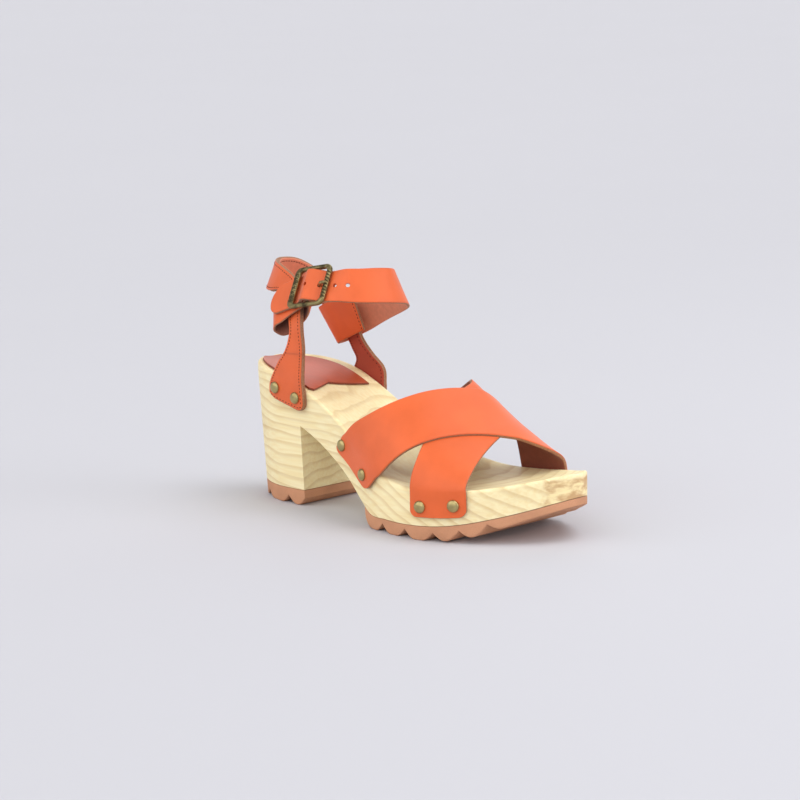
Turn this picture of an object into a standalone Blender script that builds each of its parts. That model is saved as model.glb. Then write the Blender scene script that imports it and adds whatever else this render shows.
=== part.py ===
"""Wooden-soled clog sandal, right shoe: crossed instep straps, heel sling and buckled ankle strap.

The tables are in millimetres, with x from the back of the heel to the toe, y from the outer
(lateral) side to the inner (medial) side and z up from the floor. Meshes are made in metres.
"""
import math

import bmesh
import bpy
import numpy as np

MM = 0.001
GAP = 0.3
WELD = 0.000005
NEARLY_UPRIGHT = 0.9

# Sole
LENGTH = 240.0
SOLE_OUTLINE = (  # x, lateral, medial
    (0, 0, 0),
    (10, -17.5, 22.5),
    (32, -28, 30.5),
    (70, -30.5, 28),
    (105, -35.5, 27),
    (140, -45.5, 36),
    (170, -47, 42),
    (200, -36.5, 42),
    (225, -18.5, 29),
    (240, 9, 9),
)
SOLE_RIM = (  # x, height
    (0, 82.5),
    (25, 80),
    (55, 73.5),
    (80, 63),
    (105, 50),
    (130, 36),
    (155, 29),
    (185, 28.5),
    (215, 32.5),
    (240, 38.5),
)
SOLE_UNDERSIDE = (  # x, height
    (57.5, 48.6),
    (64, 45.8),
    (71, 42.6),
    (87, 34.2),
    (104.4, 24.5),
    (118.6, 14.5),
    (128, 9),
    (145, 8),
    (165, 8),
    (190, 10),
    (215, 16),
    (250, 28.5),
)
RIM_ROUND = 2.0
FOOTBED_DISH = 2.5
DISH_FULL_WIDTH = 50.0
HEEL_FRONT = 57.5
HEEL_TAPER = 4.0
HEEL_TAPER_HEIGHT = 75.0
BACK_SLANT = 2.0
TAPER_FADE = (75.0, 110.0)
WOOD_STATIONS = 36
WALL_ROWS = 4
DISH_ROWS = 5
ROUND_ROWS = 2
SOLE_TIP = 0.012
BLOCK_BOTTOM = -5.0
ROUND_SHARE = 0.2
TAPER_LIMIT = 0.9
OUTLINE_STEP = 0.5
ARCH_STATIONS = 40
CUTTER_MARGIN = 10.0
CUTTER_HALF_WIDTH = 70.0

# Rubber runners
HEEL_RUBBER_TOP = 9.5
RUNNER_BACK = 123.0
RUNNER_BACK_ROUND = 9.0
TREAD_BASE = (  # x, height of the lug lows
    (120, 0),
    (180, 0),
    (190, 1.5),
    (205, 5.5),
    (220, 12),
    (240, 20.3),
)
LUG_PITCH = 19.0
LUG_STATIONS = 12
LUG_LAND = 5.0
LUG_DEPTH = 4.8
FOREFOOT_NOTCH = 141.5
TOE_NOTCH = FOREFOOT_NOTCH + 2 * LUG_PITCH
TOE_PITCH = LUG_PITCH * 9 / LUG_STATIONS
FOREFOOT_TREAD_END = 214.0
HEEL_NOTCH = 42.4
HEEL_PITCH = LUG_PITCH * 16 / LUG_STATIONS
RUBBER_TIP = 0.3
RUNNER_BACK_LIP = 1.5
STATION_CLEAR = 0.3

# Crossed straps, given by their outer face on the last
STRAP_THICK = 2.2
LAST_CREST = (  # x, crest height over the rim, crest y
    (90, 55.5, 33),
    (120, 52, 28),
    (150, 46, 22),
    (180, 27.5, 16),
    (210, 8, 10),
    (235, 3, 6),
)
LAST_SIDE_POWER = 0.95
LAST_TOP_POWER = 1.1
STRAP_EDGES = (  # share of the girth, over strap back, front, under strap back, front
    (-0.30, 92.3, 126, 167, 200),
    (-0.12, 99.2, 134.3, 167, 199.7),
    (0.00, 104.2, 141, 167, 199.5),
    (0.06, 109.8, 147, 166.6, 198.9),
    (0.17, 123.4, 159, 165, 197),
    (0.33, 141, 175, 158, 191.2),
    (0.50, 154.7, 190, 148, 182.2),
    (0.67, 161.2, 198, 137, 170.6),
    (0.83, 164.5, 200.5, 121.7, 155.9),
    (1.00, 167.5, 201, 106.5, 140.5),
    (1.30, 169, 203, 94, 130),
)
WALL_SPAN = 60.0
STRAP_DROP = {"over": (15.4, 15.0), "under": (14.5, 17.0)}
STRAP_CORNER = 7.0
STRAP_WIDTH = 34.0
STRAP_LENGTHS = 32
STRAP_WIDTHS = 8
CROSS_SINK = 0.25
CROSS_LIFT = STRAP_THICK - CROSS_SINK
LIFT_START = 0.03
LIFT_RAMP = 0.17

# Heel sling, given by the two edges of its middle face
SLING_THICK = 3.2
SLING_ROWS = (  # front or top edge x, y, z, then rear or bottom edge x, y, z
    (65, -32.6, 57, 35, -32.6, 65),
    (65, -32.6, 72, 36, -32.6, 73),
    (65.5, -32.2, 85, 44, -32.2, 85),
    (67.3, -33.2, 96, 53, -33.2, 95),
    (66.3, -33.2, 107, 56.6, -33.3, 105),
    (62.8, -29.8, 114, 53.6, -30.9, 110),
    (58, -25, 121, 48.7, -26.2, 117),
    (52.5, -20.9, 128.5, 42, -23, 122.5),
    (46, -18.2, 134, 34.5, -20.7, 126),
    (34, -16, 139.5, 23.5, -17.8, 125),
    (21.5, -9.8, 142, 14, -11, 125),
    (14.5, 0, 143, 9.5, 0.5, 124),
    (17.5, 9, 142, 12.5, 12.5, 122.5),
    (23.5, 16.5, 137, 21.5, 19.5, 117),
    (33, 22, 127, 31, 24.6, 109),
    (42, 26, 115.5, 37.5, 27.6, 100.5),
    (48.5, 28.4, 104, 41, 29.4, 92.5),
    (52, 29.6, 94, 44, 30.4, 86),
    (60, 30.2, 85, 45.5, 31, 81),
    (68.5, 30.8, 77.5, 43, 31.8, 76),
    (71, 31, 68, 39, 33, 70),
    (70.5, 31, 56, 38.5, 33.2, 62),
)
SLING_LENGTHS = 48
SLING_WIDTHS = 7
WALL_HUG = 12.0
TAB_CORNER = 6.0
TAB_WIDTH = 30.0
SLING_LENGTH = 270.0
TRIM_FADE = 0.08

# Ankle strap, given by the middle of its width; its top edge lies back and across from its bottom edge
ANKLE_THICK = 2.0
STATIONS_PER_ROW = 3
ANKLE_WIDTHS = 5
TIP_ROUND = 9.0
TIP_FADE_ROW = 3
ANKLE_ROWS = (  # x, y, z, width, back, across
    (92, -26, 133.6, 19.8, 1.5, 8.5),
    (99, -18.5, 133.2, 20.5, 4.5, 7),
    (103.6, -8, 132.7, 20.8, 6.6, 3),
    (104.6, 2, 131.8, 21, 6.4, -0.5),
    (101.6, 11.5, 130.2, 21.7, 7, -3.5),
    (95, 19, 127.3, 23, 8, -5.5),
    (84, 25, 123.5, 23.5, 8.5, -6),
    (72, 29, 119.5, 24, 9, -6.2),
    (60, 32, 115, 24.5, 9.5, -6.2),
    (48, 32.2, 109.3, 25, 10, -6.2),
    (40, 31.3, 105.6, 25, 10.5, -6.2),
    (34, 30.1, 102.8, 25, 10.5, -6.2),
    (30.2, 28.2, 101, 25, 10.5, -6),
    (29, 25.6, 100.4, 25, 10.5, -5.8),
    (30.4, 23, 101, 25, 10.5, -5.8),
    (34.4, 22, 102.8, 25, 10.5, -6),
    (40, 22.9, 105.4, 25, 10.5, -6.2),
    (47, 23.5, 108.6, 25, 10, -6.2),
    (56.5, 24.5, 113, 25, 9.5, -6.2),
)
END_SLANT = 5.0
END_FADE = 0.93

# Buckle, in its own leaned frame: s forwards, t up the lean, n outwards
BUCKLE_AT = (70.5, -30.3, 132.0)
BUCKLE_RISE = 9.6
BUCKLE_LEAN = 31.0
BUCKLE_LONG = 30.5
BUCKLE_TALL = 26.0
BUCKLE_CORNER = 4.5
BAR_LEFT = 4.6
BAR_RIGHT = 3.2
BAR_SIDE = 2.6
BUCKLE_THICK = 2.6
BUCKLE_CHAMFER = 0.6
CORNER_STEPS = 5
PIN_RADIUS = 1.0
PIN_SINK = 0.4
PIN_DEPTH = -1.5
WRAP_THICK = 1.5
WRAP_SLACK = 0.1
STRAP_SLACK = 0.35
PIN_WRAP = PIN_RADIUS + GAP + WRAP_THICK / 2 + WRAP_SLACK
UNDER_BAR = -(BUCKLE_THICK / 2 + GAP + ANKLE_THICK / 2 + STRAP_SLACK)
OVER_PIN = PIN_DEPTH + PIN_WRAP + WRAP_THICK / 2 + 2 * GAP + ANKLE_THICK / 2
STRAP_IN_BUCKLE = (  # s, n, drop of the middle below the buckle's own line
    (-34, UNDER_BAR, 5),
    (-28, UNDER_BAR, 3.8),
    (-20, UNDER_BAR, 2.2),
    (-15.6, UNDER_BAR, 1.3),
    (-10.3, UNDER_BAR, 0.6),
    (-4.9, 0.3, 0.2),
    (0, OVER_PIN, 0),
    (5.6, 0.3, 0),
    (11.8, UNDER_BAR, 0.2),
    (16, UNDER_BAR, 0.4),
)
STRAP_WIDTH_IN_BUCKLE = 19.5
LOOP_ROWS = (  # s, n, drop, width of the buckle strap's loop behind the pin
    (-1.6, 0.2, 0.1, 18.5),
    (-3, -1.3, 0.2, 18.5),
    (-5.5, -3.5, 0.5, 18.5),
    (-9, -5.2, 1.2, 18.5),
    (-13, -5.3, 2.5, 19),
    (-20, -5.2, 5.2, 20),
    (-26.5, -5.2, 8, 21.5),
    (-31.8, -5.7, 10.2, 21),
    (-34.4, -8.4, 12, 21),
    (-31.8, -11.6, 13.2, 21),
    (-26, -12.8, 12, 21.5),
    (-19, -12.9, 8.8, 20),
    (-12, -12.4, 5, 19),
    (-7.5, -10.2, 2.5, 18.5),
    (-4, -6.6, 0.9, 18.5),
)
LOOP_SLANT = 20.0
SLANT_START = -8.0
SLANT_RUN = 25.0
NOSE_ANGLES = (-90, -45, 0, 45, 90)
LOOP_LENGTHS = 60
LOOP_WIDTHS = 4
PRONG_RADIUS = 1.0
PRONG_ROWS = (  # s, n
    (PIN_RADIUS + GAP, PIN_DEPTH),
    (4.5, -1.5),
    (7.2, -1),
    (9.4, 0.8),
    (11.8, 2.5),
    (13.6, 2.75),
    (16.6, 2.75),
)
PRONG_CLEAR = 0.45
PRONG_STATIONS = 13
PRONG_ROUND = 2
SLOT_ALONG = (0.5, 6.0)
SLOT_HALF_WIDTH = 1.5
SLOT_DEPTH = (-4.2, 4.0)
HOLE_RADIUS = 1.5
HOLE_REACH = 8.0
ROD_STEPS = 16
STRAP_HOLES = (35.8, 55.8, 63.2)

# Heel sock
SOCK_THICK = 1.2
SOCK_BACK = 4.0
SOCK_OUTER_INSET = 4.0
SOCK_INNER_INSET = 8.5
SOCK_FRONT = (  # share of the width, x of the front edge
    (0.0, 63),
    (0.06, 64.5),
    (0.46, 57),
    (1.0, 67),
)
SOCK_LENGTHS = 12
SOCK_WIDTHS = 12

# Nails
NAIL_HEAD = 3.5
NAIL_DOME = 2.0
DOME_ROWS = 4
NAIL_SHANK = 1.0
NAIL_LENGTH = 9.0
NAIL_STEPS = 8
NAIL_HOLE = NAIL_SHANK + GAP
NAIL_CLEAR = 0.5
NAILS = (  # name, side, x, height, seat over the wall
    ("over_strap_outer_back", "lateral", 102, 43.5, STRAP_THICK),
    ("over_strap_outer_front", "lateral", 125.5, 30.5, STRAP_THICK),
    ("over_strap_inner_back", "medial", 175, 19, STRAP_THICK),
    ("over_strap_inner_front", "medial", 194, 20, STRAP_THICK),
    ("under_strap_outer_back", "lateral", 173.5, 19.5, STRAP_THICK),
    ("under_strap_outer_front", "lateral", 192, 21.5, STRAP_THICK),
    ("under_strap_inner_back", "medial", 107, 38, STRAP_THICK),
    ("under_strap_inner_front", "medial", 130, 26, STRAP_THICK),
    ("sling_outer_back", "lateral", 41.5, 70.5, SLING_THICK),
    ("sling_outer_front", "lateral", 58.5, 66, SLING_THICK),
    ("sling_inner_back", "medial", 46, 68, SLING_THICK),
    ("sling_inner_front", "medial", 63, 62.5, SLING_THICK),
)

COLOURS = {  # red, green, blue, roughness, metallic
    "wood": (0.86, 0.70, 0.42, 0.55, 0.0),
    "rubber": (0.62, 0.33, 0.20, 0.75, 0.0),
    "leather": (0.83, 0.20, 0.06, 0.5, 0.0),
    "sock": (0.47, 0.13, 0.08, 0.6, 0.0),
    "brass": (0.44, 0.37, 0.20, 0.4, 1.0),
}


def smooth(knots, values, at):
    """Cubic pieces through the knots, with each slope taken from the neighbouring knots."""
    knots = np.asarray(knots, float)
    values = np.asarray(values, float)
    at = np.asarray(at, float)
    slopes = np.gradient(values, knots, axis=0)
    left = np.clip(np.searchsorted(knots, at, side="right") - 1, 0, len(knots) - 2)
    span = knots[left + 1] - knots[left]
    part = np.clip((at - knots[left]) / span, 0, 1)
    if values.ndim > 1:
        part = part[..., None]
        span = span[..., None]
    rise = part * part * (3 - 2 * part)
    start = part * (1 - part) ** 2
    end = part * part * (part - 1)
    return (values[left] * (1 - rise) + values[left + 1] * rise
            + span * (slopes[left] * start + slopes[left + 1] * end))


def column(table, name_index, at):
    """One column of a table as a smooth function of the table's first column."""
    rows = np.asarray(table, float)
    return smooth(rows[:, 0], rows[:, name_index], at)


def ease(value):
    """Soft step from 0 to 1."""
    value = np.clip(value, 0, 1)
    return value * value * (3 - 2 * value)


def turn(x):
    """Share of the half turn that x is along the sole, so that both ends come out round."""
    return np.arccos(np.clip(1 - 2 * np.asarray(x, float) / LENGTH, -1, 1)) / math.pi


def sole_side(x, side):
    """Plan y of the sole's outline on one side."""
    rows = np.asarray(SOLE_OUTLINE, float)
    return smooth(turn(rows[:, 0]), rows[:, 1 if side == "lateral" else 2], turn(x))


def outward(x, side):
    """Unit plan normal of the outline, pointing out of the sole."""
    ahead = sole_side(x + OUTLINE_STEP, side)
    behind = sole_side(x - OUTLINE_STEP, side)
    slope = (ahead - behind) / (2 * OUTLINE_STEP)
    sign = -1 if side == "lateral" else 1
    size = np.sqrt(1 + slope ** 2)
    return -sign * slope / size, sign / size


def taper(x, z):
    """How far the heel's wall lies inside the outline, growing towards the floor."""
    fade = 1 - ease((x - TAPER_FADE[0]) / (TAPER_FADE[1] - TAPER_FADE[0]))
    return HEEL_TAPER * fade * np.clip(1 - z / HEEL_TAPER_HEIGHT, 0, 1)


def wall(x, z, side):
    """Plan place of the sole's wall, with the heel's taper and the slant of its back taken off."""
    centre = 0.5 * (sole_side(x, "lateral") + sole_side(x, "medial"))
    reach = sole_side(x, side) - centre
    inset = np.minimum(taper(x, z), np.abs(reach) * TAPER_LIMIT)
    low = np.clip(1 - z / HEEL_TAPER_HEIGHT, 0, 1)
    slant = BACK_SLANT * low * np.clip(1 - x / HEEL_FRONT, 0, 1)
    return x + slant, centre + reach - np.sign(reach) * inset


def rim(x):
    """Height of the sole's rim."""
    return column(SOLE_RIM, 1, x)


def edge_round(x):
    """Radius of the rim's rounded edge, less at the narrow ends."""
    return np.minimum(RIM_ROUND, ROUND_SHARE * (sole_side(x, "medial") - sole_side(x, "lateral")))


def footbed(x, y):
    """Height of the footbed, dished between its rounded edges."""
    inset = edge_round(x)
    lateral_y = sole_side(x, "lateral") + inset
    width = sole_side(x, "medial") - inset - lateral_y
    share = np.clip((y - lateral_y) / width, 0, 1)
    depth = FOOTBED_DISH * np.clip(width / DISH_FULL_WIDTH, 0, 1)
    return rim(x) - end_round(x) - depth * (1 - (2 * share - 1) ** 2)


def end_round(x):
    """Fall of the rim at the very back and the very toe, where its edge is rounded."""
    near = np.clip(np.minimum(x, LENGTH - x), 0, RIM_ROUND)
    return RIM_ROUND - np.sqrt(RIM_ROUND ** 2 - (RIM_ROUND - near) ** 2)


def grid_faces(rows, columns, wrap_rows=False, wrap_columns=False):
    """Quads of a grid of points, in rows, with either direction closed if asked."""
    row_count = rows if wrap_rows else rows - 1
    column_count = columns if wrap_columns else columns - 1
    i, j = np.meshgrid(np.arange(row_count), np.arange(column_count), indexing="ij")
    i_next = (i + 1) % rows
    j_next = (j + 1) % columns
    corners = ((i, j), (i_next, j), (i_next, j_next), (i, j_next))
    quads = np.stack([row * columns + place for row, place in corners], -1)
    return [tuple(int(k) for k in quad) for quad in quads.reshape(-1, 4)]


def new_object(name, points, faces, material, collection, turn_out=True):
    """Mesh object from points in millimetres, with a closed shape's faces turned outwards."""
    mesh = bpy.data.meshes.new(name)
    mesh.from_pydata((np.asarray(points, float).reshape(-1, 3) * MM).tolist(), [], faces)
    if turn_out:
        shape = bmesh.new()
        shape.from_mesh(mesh)
        bmesh.ops.recalc_face_normals(shape, faces=shape.faces)
        shape.to_mesh(mesh)
        shape.free()
    mesh.materials.append(bpy.data.materials[material])
    part = bpy.data.objects.new(name, mesh)
    collection.objects.link(part)
    return part


def loft(name, rings, material, collection):
    """Solid from rings of equal point counts, closed by a face at each end."""
    count, size = rings.shape[:2]
    faces = grid_faces(count, size, wrap_columns=True)
    faces.append(tuple(range(size)))
    faces.append(tuple(range((count - 1) * size, count * size)))
    return new_object(name, rings, faces, material, collection)


def shell(name, points, thick, offset, material, collection, closed=False):
    """Open grid of points thickened into leather."""
    rows, columns = points.shape[:2]
    faces = grid_faces(rows, columns, wrap_rows=closed)
    part = new_object(name, points, faces, material, collection, turn_out=False)
    solid = part.modifiers.new("thickness", "SOLIDIFY")
    solid.thickness = thick * MM
    solid.offset = offset
    solid.use_even_offset = True
    return part


def boolean(part, other, operation):
    """Cut or join one object with another."""
    step = part.modifiers.new(operation.lower() + "_" + other.name, "BOOLEAN")
    step.operation = operation
    step.solver = "EXACT"
    step.object = other


def make_guide(part):
    """Keep a cutter or a joined piece out of the finished parts."""
    part.hide_render = True
    part.display_type = "WIRE"


def make_material(name, red, green, blue, roughness, metallic):
    """Plain surface with the part's colour."""
    material = bpy.data.materials.new(name)
    material.use_nodes = True
    surface = material.node_tree.nodes["Principled BSDF"]
    surface.inputs["Base Color"].default_value = (red, green, blue, 1)
    surface.inputs["Roughness"].default_value = roughness
    surface.inputs["Metallic"].default_value = metallic


def make_wood_sole(parts, guides):
    """Carved sole: rounded walls and dished footbed, its underside cut to heel, arch and toe spring."""
    x = LENGTH * 0.5 * (1 - np.cos(math.pi * np.linspace(SOLE_TIP, 1 - SOLE_TIP, WOOD_STATIONS)))
    rings = []
    angles = np.linspace(0, math.pi / 2, ROUND_ROWS + 2)[1:]
    for station in x:
        radius = edge_round(station)
        top = rim(station) - end_round(station)
        heights = np.linspace(BLOCK_BOTTOM, top - radius, WALL_ROWS)
        insets = radius * (1 - np.cos(angles))
        edges = top - radius * (1 - np.sin(angles))
        lateral_y = sole_side(station, "lateral")
        medial_y = sole_side(station, "medial")
        across = np.linspace(lateral_y + radius, medial_y - radius, DISH_ROWS + 2)[1:-1]
        ring = [(*wall(station, z, "lateral"), z) for z in heights]
        ring.extend((station, lateral_y + inset, z) for inset, z in zip(insets, edges))
        ring.extend((station, y, footbed(station, y)) for y in across)
        ring.extend((station, medial_y - inset, z) for inset, z in zip(insets[::-1], edges[::-1]))
        ring.extend((*wall(station, z, "medial"), z) for z in heights[::-1])
        rings.append(ring)
    sole = loft("wood_sole", np.array(rings, float), "wood", parts)
    arch_start = SOLE_UNDERSIDE[1][0]
    arch_end = SOLE_UNDERSIDE[-1][0]
    arch_x = np.concatenate([[HEEL_FRONT], np.linspace(arch_start, arch_end, ARCH_STATIONS)])
    arch = [(a, float(column(SOLE_UNDERSIDE, 1, a))) for a in arch_x]
    heel_cut = HEEL_RUBBER_TOP + GAP
    below = -CUTTER_MARGIN
    profile = [(below, below), (below, heel_cut), (HEEL_FRONT, heel_cut), *arch, (arch_end, below)]
    widths = (-CUTTER_HALF_WIDTH, CUTTER_HALF_WIDTH)
    sides = np.array([[(a, y, z) for a, z in profile] for y in widths], float)
    cutter = loft("underside_cutter", sides, "wood", guides)
    make_guide(cutter)
    boolean(sole, cutter, "DIFFERENCE")
    return sole


def lug_height(x, notch, pitch):
    """Scalloped tread: flat lands with rounded flanks that meet in a notch at every pitch."""
    away = np.abs((x - notch + pitch / 2) % pitch - pitch / 2)
    reach = (LUG_PITCH - LUG_LAND) / 2
    return LUG_DEPTH * (1 - np.sin(np.clip(away / reach, 0, 1) * math.pi / 2))


def tread_stations(start, end, notch):
    """Stations along a runner, with one on each notch."""
    step = LUG_PITCH / LUG_STATIONS
    first = math.ceil((start - notch) / step + STATION_CLEAR)
    inner = notch + step * np.arange(first, (end - notch) / step - STATION_CLEAR)
    return np.concatenate([[start], inner, [end]])


def runner(name, x, bottom, top, parts):
    """Rubber runner under the sole, flush with its walls, with a tread that runs straight across."""
    rings = []
    for station, low, high in zip(x, bottom, top):
        ring = []
        for side, z in (("lateral", low), ("lateral", high), ("medial", high), ("medial", low)):
            ring.append((*wall(station, z, side), z))
        rings.append(ring)
    return loft(name, np.array(rings, float), "rubber", parts)


def make_rubbers(parts):
    """Heel lift and forefoot runner."""
    x = tread_stations(RUBBER_TIP, HEEL_FRONT, HEEL_NOTCH)
    bottom = np.maximum(lug_height(x, HEEL_NOTCH, HEEL_PITCH), lug_height(x, HEEL_FRONT, LENGTH))
    runner("heel_rubber", x, bottom, np.full(len(x), HEEL_RUBBER_TOP), parts)
    x = tread_stations(RUNNER_BACK, LENGTH - RUBBER_TIP, FOREFOOT_NOTCH)
    ball = lug_height(x, FOREFOOT_NOTCH, LUG_PITCH)
    tread = np.where(x < TOE_NOTCH, ball, lug_height(x, TOE_NOTCH, TOE_PITCH))
    tread = np.where(x < FOREFOOT_TREAD_END, tread, 0)
    bottom = np.maximum(column(TREAD_BASE, 1, x), 0) + tread
    back = np.clip((x - RUNNER_BACK) / RUNNER_BACK_ROUND, 0, 1)
    top = column(SOLE_UNDERSIDE, 1, x) - GAP
    heel_side = (top - RUNNER_BACK_LIP) * (1 - np.sqrt(1 - (1 - back) ** 2))
    bottom = np.where(back < 1, heel_side, bottom)
    runner("forefoot_rubber", x, bottom, top, parts)


def last_point(girth, x, lift):
    """Outer face of the straps: down the outer wall, over the instep's crest and down the inner wall."""
    seat = GAP + STRAP_THICK
    lateral_y = sole_side(x, "lateral") - seat / -outward(x, "lateral")[1]
    medial_y = sole_side(x, "medial") + seat / outward(x, "medial")[1]
    crest_rise = column(LAST_CREST, 1, x)
    crest_y = column(LAST_CREST, 2, x)
    angle = np.clip(girth, 0, 1) * math.pi
    cosine = np.cos(angle)
    across = np.abs(cosine) ** LAST_SIDE_POWER
    up = np.sin(angle) ** LAST_TOP_POWER
    ramp = lift * ease((np.minimum(girth, 1 - girth) - LIFT_START) / LIFT_RAMP)
    side_y = np.where(cosine >= 0, lateral_y - ramp, medial_y + ramp)
    y = crest_y + (side_y - crest_y) * across
    drop = WALL_SPAN * (np.clip(-girth, 0, None) + np.clip(girth - 1, 0, None))
    return np.stack([x + 0 * y, y, rim(x) + (crest_rise + ramp) * up - drop], -1)


def corner_trim(share, width, radius):
    """How far a rounded end falls back at each share of its width."""
    edge = np.minimum(share, 1 - share) * width
    inside = np.clip(1 - edge / radius, 0, 1)
    return radius * (1 - np.sqrt(1 - inside ** 2))


def strap_points(name, edge_columns, lift):
    """Grid over one strap: along it from the outer end to the inner end, and across it."""
    share = 0.5 * (1 - np.cos(math.pi * np.linspace(0, 1, STRAP_WIDTHS)))
    outer_drop, inner_drop = STRAP_DROP[name]
    trim = corner_trim(share, STRAP_WIDTH, STRAP_CORNER)
    start = -(outer_drop - trim) / WALL_SPAN
    end = 1 + (inner_drop - trim) / WALL_SPAN
    along = np.linspace(0, 1, STRAP_LENGTHS)[:, None]
    girth = start + (end - start) * along
    back = column(STRAP_EDGES, edge_columns[0], girth)
    front = column(STRAP_EDGES, edge_columns[1], girth)
    return last_point(girth, back + (front - back) * share, lift)


def make_upper(parts, guides):
    """Two crossed straps, joined where the over strap lies on the under strap."""
    over = shell("upper", strap_points("over", (1, 2), CROSS_LIFT), STRAP_THICK, 1, "leather", parts)
    under = shell("under_strap", strap_points("under", (3, 4), 0.0), STRAP_THICK, 1, "leather", guides)
    make_guide(under)
    boolean(over, under, "UNION")
    return over


def path_share(points):
    """Distance along a path at each of its points, as a share of the whole."""
    steps = np.linalg.norm(np.diff(points, axis=0), axis=1)
    total = np.concatenate([[0], np.cumsum(steps)])
    return total / total[-1]


def make_sling(parts):
    """Heel sling: outer tab, neck, band round the back of the ankle, inner neck and inner tab."""
    rows = np.asarray(SLING_ROWS, float)
    knots = path_share(0.5 * (rows[:, :3] + rows[:, 3:]))
    share = 0.5 * (1 - np.cos(math.pi * np.linspace(0, 1, SLING_WIDTHS)))
    trim = corner_trim(share, TAB_WIDTH, TAB_CORNER) / SLING_LENGTH
    along = np.linspace(0, 1, SLING_LENGTHS)[:, None]
    fade = np.clip(1 - along / TRIM_FADE, 0, 1) - np.clip(1 - (1 - along) / TRIM_FADE, 0, 1)
    place = along + trim * fade
    edges = smooth(knots, rows, place)
    front = edges[..., :3]
    rear = edges[..., 3:]
    points = front + (rear - front) * share[:, None]
    x = points[..., 0]
    seat = GAP + SLING_THICK / 2
    outer = wall(x, points[..., 2], "lateral")[1] - seat / -outward(x, "lateral")[1]
    inner = wall(x, points[..., 2], "medial")[1] + seat / outward(x, "medial")[1]
    hug = ease((rim(x) + WALL_HUG - points[..., 2]) / WALL_HUG)
    seated = np.where(points[..., 1] < 0, outer, inner)
    points[..., 1] += (seated - points[..., 1]) * hug
    return shell("heel_sling", points, SLING_THICK, 0, "leather", parts)


def buckle_axes():
    """Unit vectors of the buckle's frame: forwards, up the lean and outwards."""
    rise = math.radians(BUCKLE_RISE)
    lean = math.radians(BUCKLE_LEAN)
    forwards = np.array([math.cos(rise), 0, math.sin(rise)])
    outwards = np.array([0, -math.cos(lean), math.sin(lean)])
    outwards = outwards - forwards * (outwards @ forwards)
    outwards = outwards / np.linalg.norm(outwards)
    return forwards, np.cross(outwards, forwards), outwards


def in_buckle(s, t, n):
    """Place of a point given in the buckle's frame."""
    forwards, upwards, outwards = buckle_axes()
    s, t, n = (np.asarray(value, float)[..., None] for value in (s, t, n))
    return np.asarray(BUCKLE_AT) + s * forwards + t * upwards + n * outwards


def ankle_rows():
    """Middle and half width of the ankle strap: from its tip, through the buckle and round the inner neck."""
    run = np.asarray(STRAP_IN_BUCKLE, float)
    upwards = buckle_axes()[1]
    middle = in_buckle(run[:, 0], -run[:, 2], run[:, 1])
    half = np.broadcast_to(upwards * STRAP_WIDTH_IN_BUCKLE / 2, middle.shape)
    rows = np.asarray(ANKLE_ROWS, float)
    back = rows[:, 4]
    across = rows[:, 5]
    rise = np.sqrt(rows[:, 3] ** 2 - back ** 2 - across ** 2)
    middle = np.vstack([middle, rows[:, :3]])
    half = np.vstack([half, 0.5 * np.stack([-back, across, rise], 1)])
    length = np.linalg.norm(np.diff(middle, axis=0), axis=1).sum()
    return path_share(middle), np.hstack([middle, half]), length


def ankle_strap_points():
    """Grid over the ankle strap, with a round tip."""
    knots, rows, length = ankle_rows()
    share = np.linspace(-1, 1, ANKLE_WIDTHS)
    trim = TIP_ROUND * (1 - np.sqrt(1 - share ** 2)) / length
    count = len(knots) - 1
    stations = np.arange(count * STATIONS_PER_ROW + 1) / STATIONS_PER_ROW
    along = np.interp(stations, np.arange(count + 1), knots)
    place = along[:, None] + trim * np.clip(1 - along[:, None] / knots[TIP_FADE_ROW], 0, 1)
    slant = END_SLANT / length * (1 - share) / 2
    place = place - slant * np.clip((along[:, None] - END_FADE) / (1 - END_FADE), 0, 1)
    both = smooth(knots, rows, place)
    return both[..., :3] + both[..., 3:] * share[:, None]


def rod_rings(centre, axis, radius, half_length, steps):
    """The two end circles of a round rod about a point."""
    axis = np.asarray(axis, float) / np.linalg.norm(axis)
    helper = np.array([0.0, 0.0, 1.0]) if abs(axis[2]) < NEARLY_UPRIGHT else np.array([1.0, 0.0, 0.0])
    side = np.cross(axis, helper)
    side = side / np.linalg.norm(side)
    other = np.cross(axis, side)
    angle = 2 * math.pi * np.arange(steps) / steps
    circle = radius * (np.cos(angle)[:, None] * side + np.sin(angle)[:, None] * other)
    return np.array([centre - axis * half_length + circle, centre + axis * half_length + circle])


def rods(name, rings, material, collection):
    """One object of several round rods, each given by its end circles."""
    faces = []
    size = rings[0].shape[1]
    for number in range(len(rings)):
        start = number * 2 * size
        one = grid_faces(2, size, wrap_columns=True)
        one.extend((tuple(range(size)), tuple(range(size, 2 * size))))
        faces.extend(tuple(start + k for k in face) for face in one)
    part = new_object(name, np.array(rings), faces, material, collection)
    make_guide(part)
    return part


def make_ankle_strap(parts, guides):
    """Ankle strap with its punched holes."""
    strap = shell("ankle_strap", ankle_strap_points(), ANKLE_THICK, 0, "leather", parts)
    knots, rows, length = ankle_rows()
    holes = []
    for distance in STRAP_HOLES:
        near = smooth(knots, rows, (distance + np.array([-HOLE_RADIUS, 0, HOLE_RADIUS])) / length)
        axis = np.cross(near[2, :3] - near[0, :3], near[1, 3:])
        holes.append(rod_rings(near[1, :3], axis, HOLE_RADIUS, HOLE_REACH, ROD_STEPS))
    boolean(strap, rods("strap_holes", holes, "leather", guides), "DIFFERENCE")
    passage = solid_copy(prong_wire("prong_passage", PRONG_RADIUS + PRONG_CLEAR), guides)
    make_guide(passage)
    boolean(strap, passage, "DIFFERENCE")
    return strap


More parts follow.
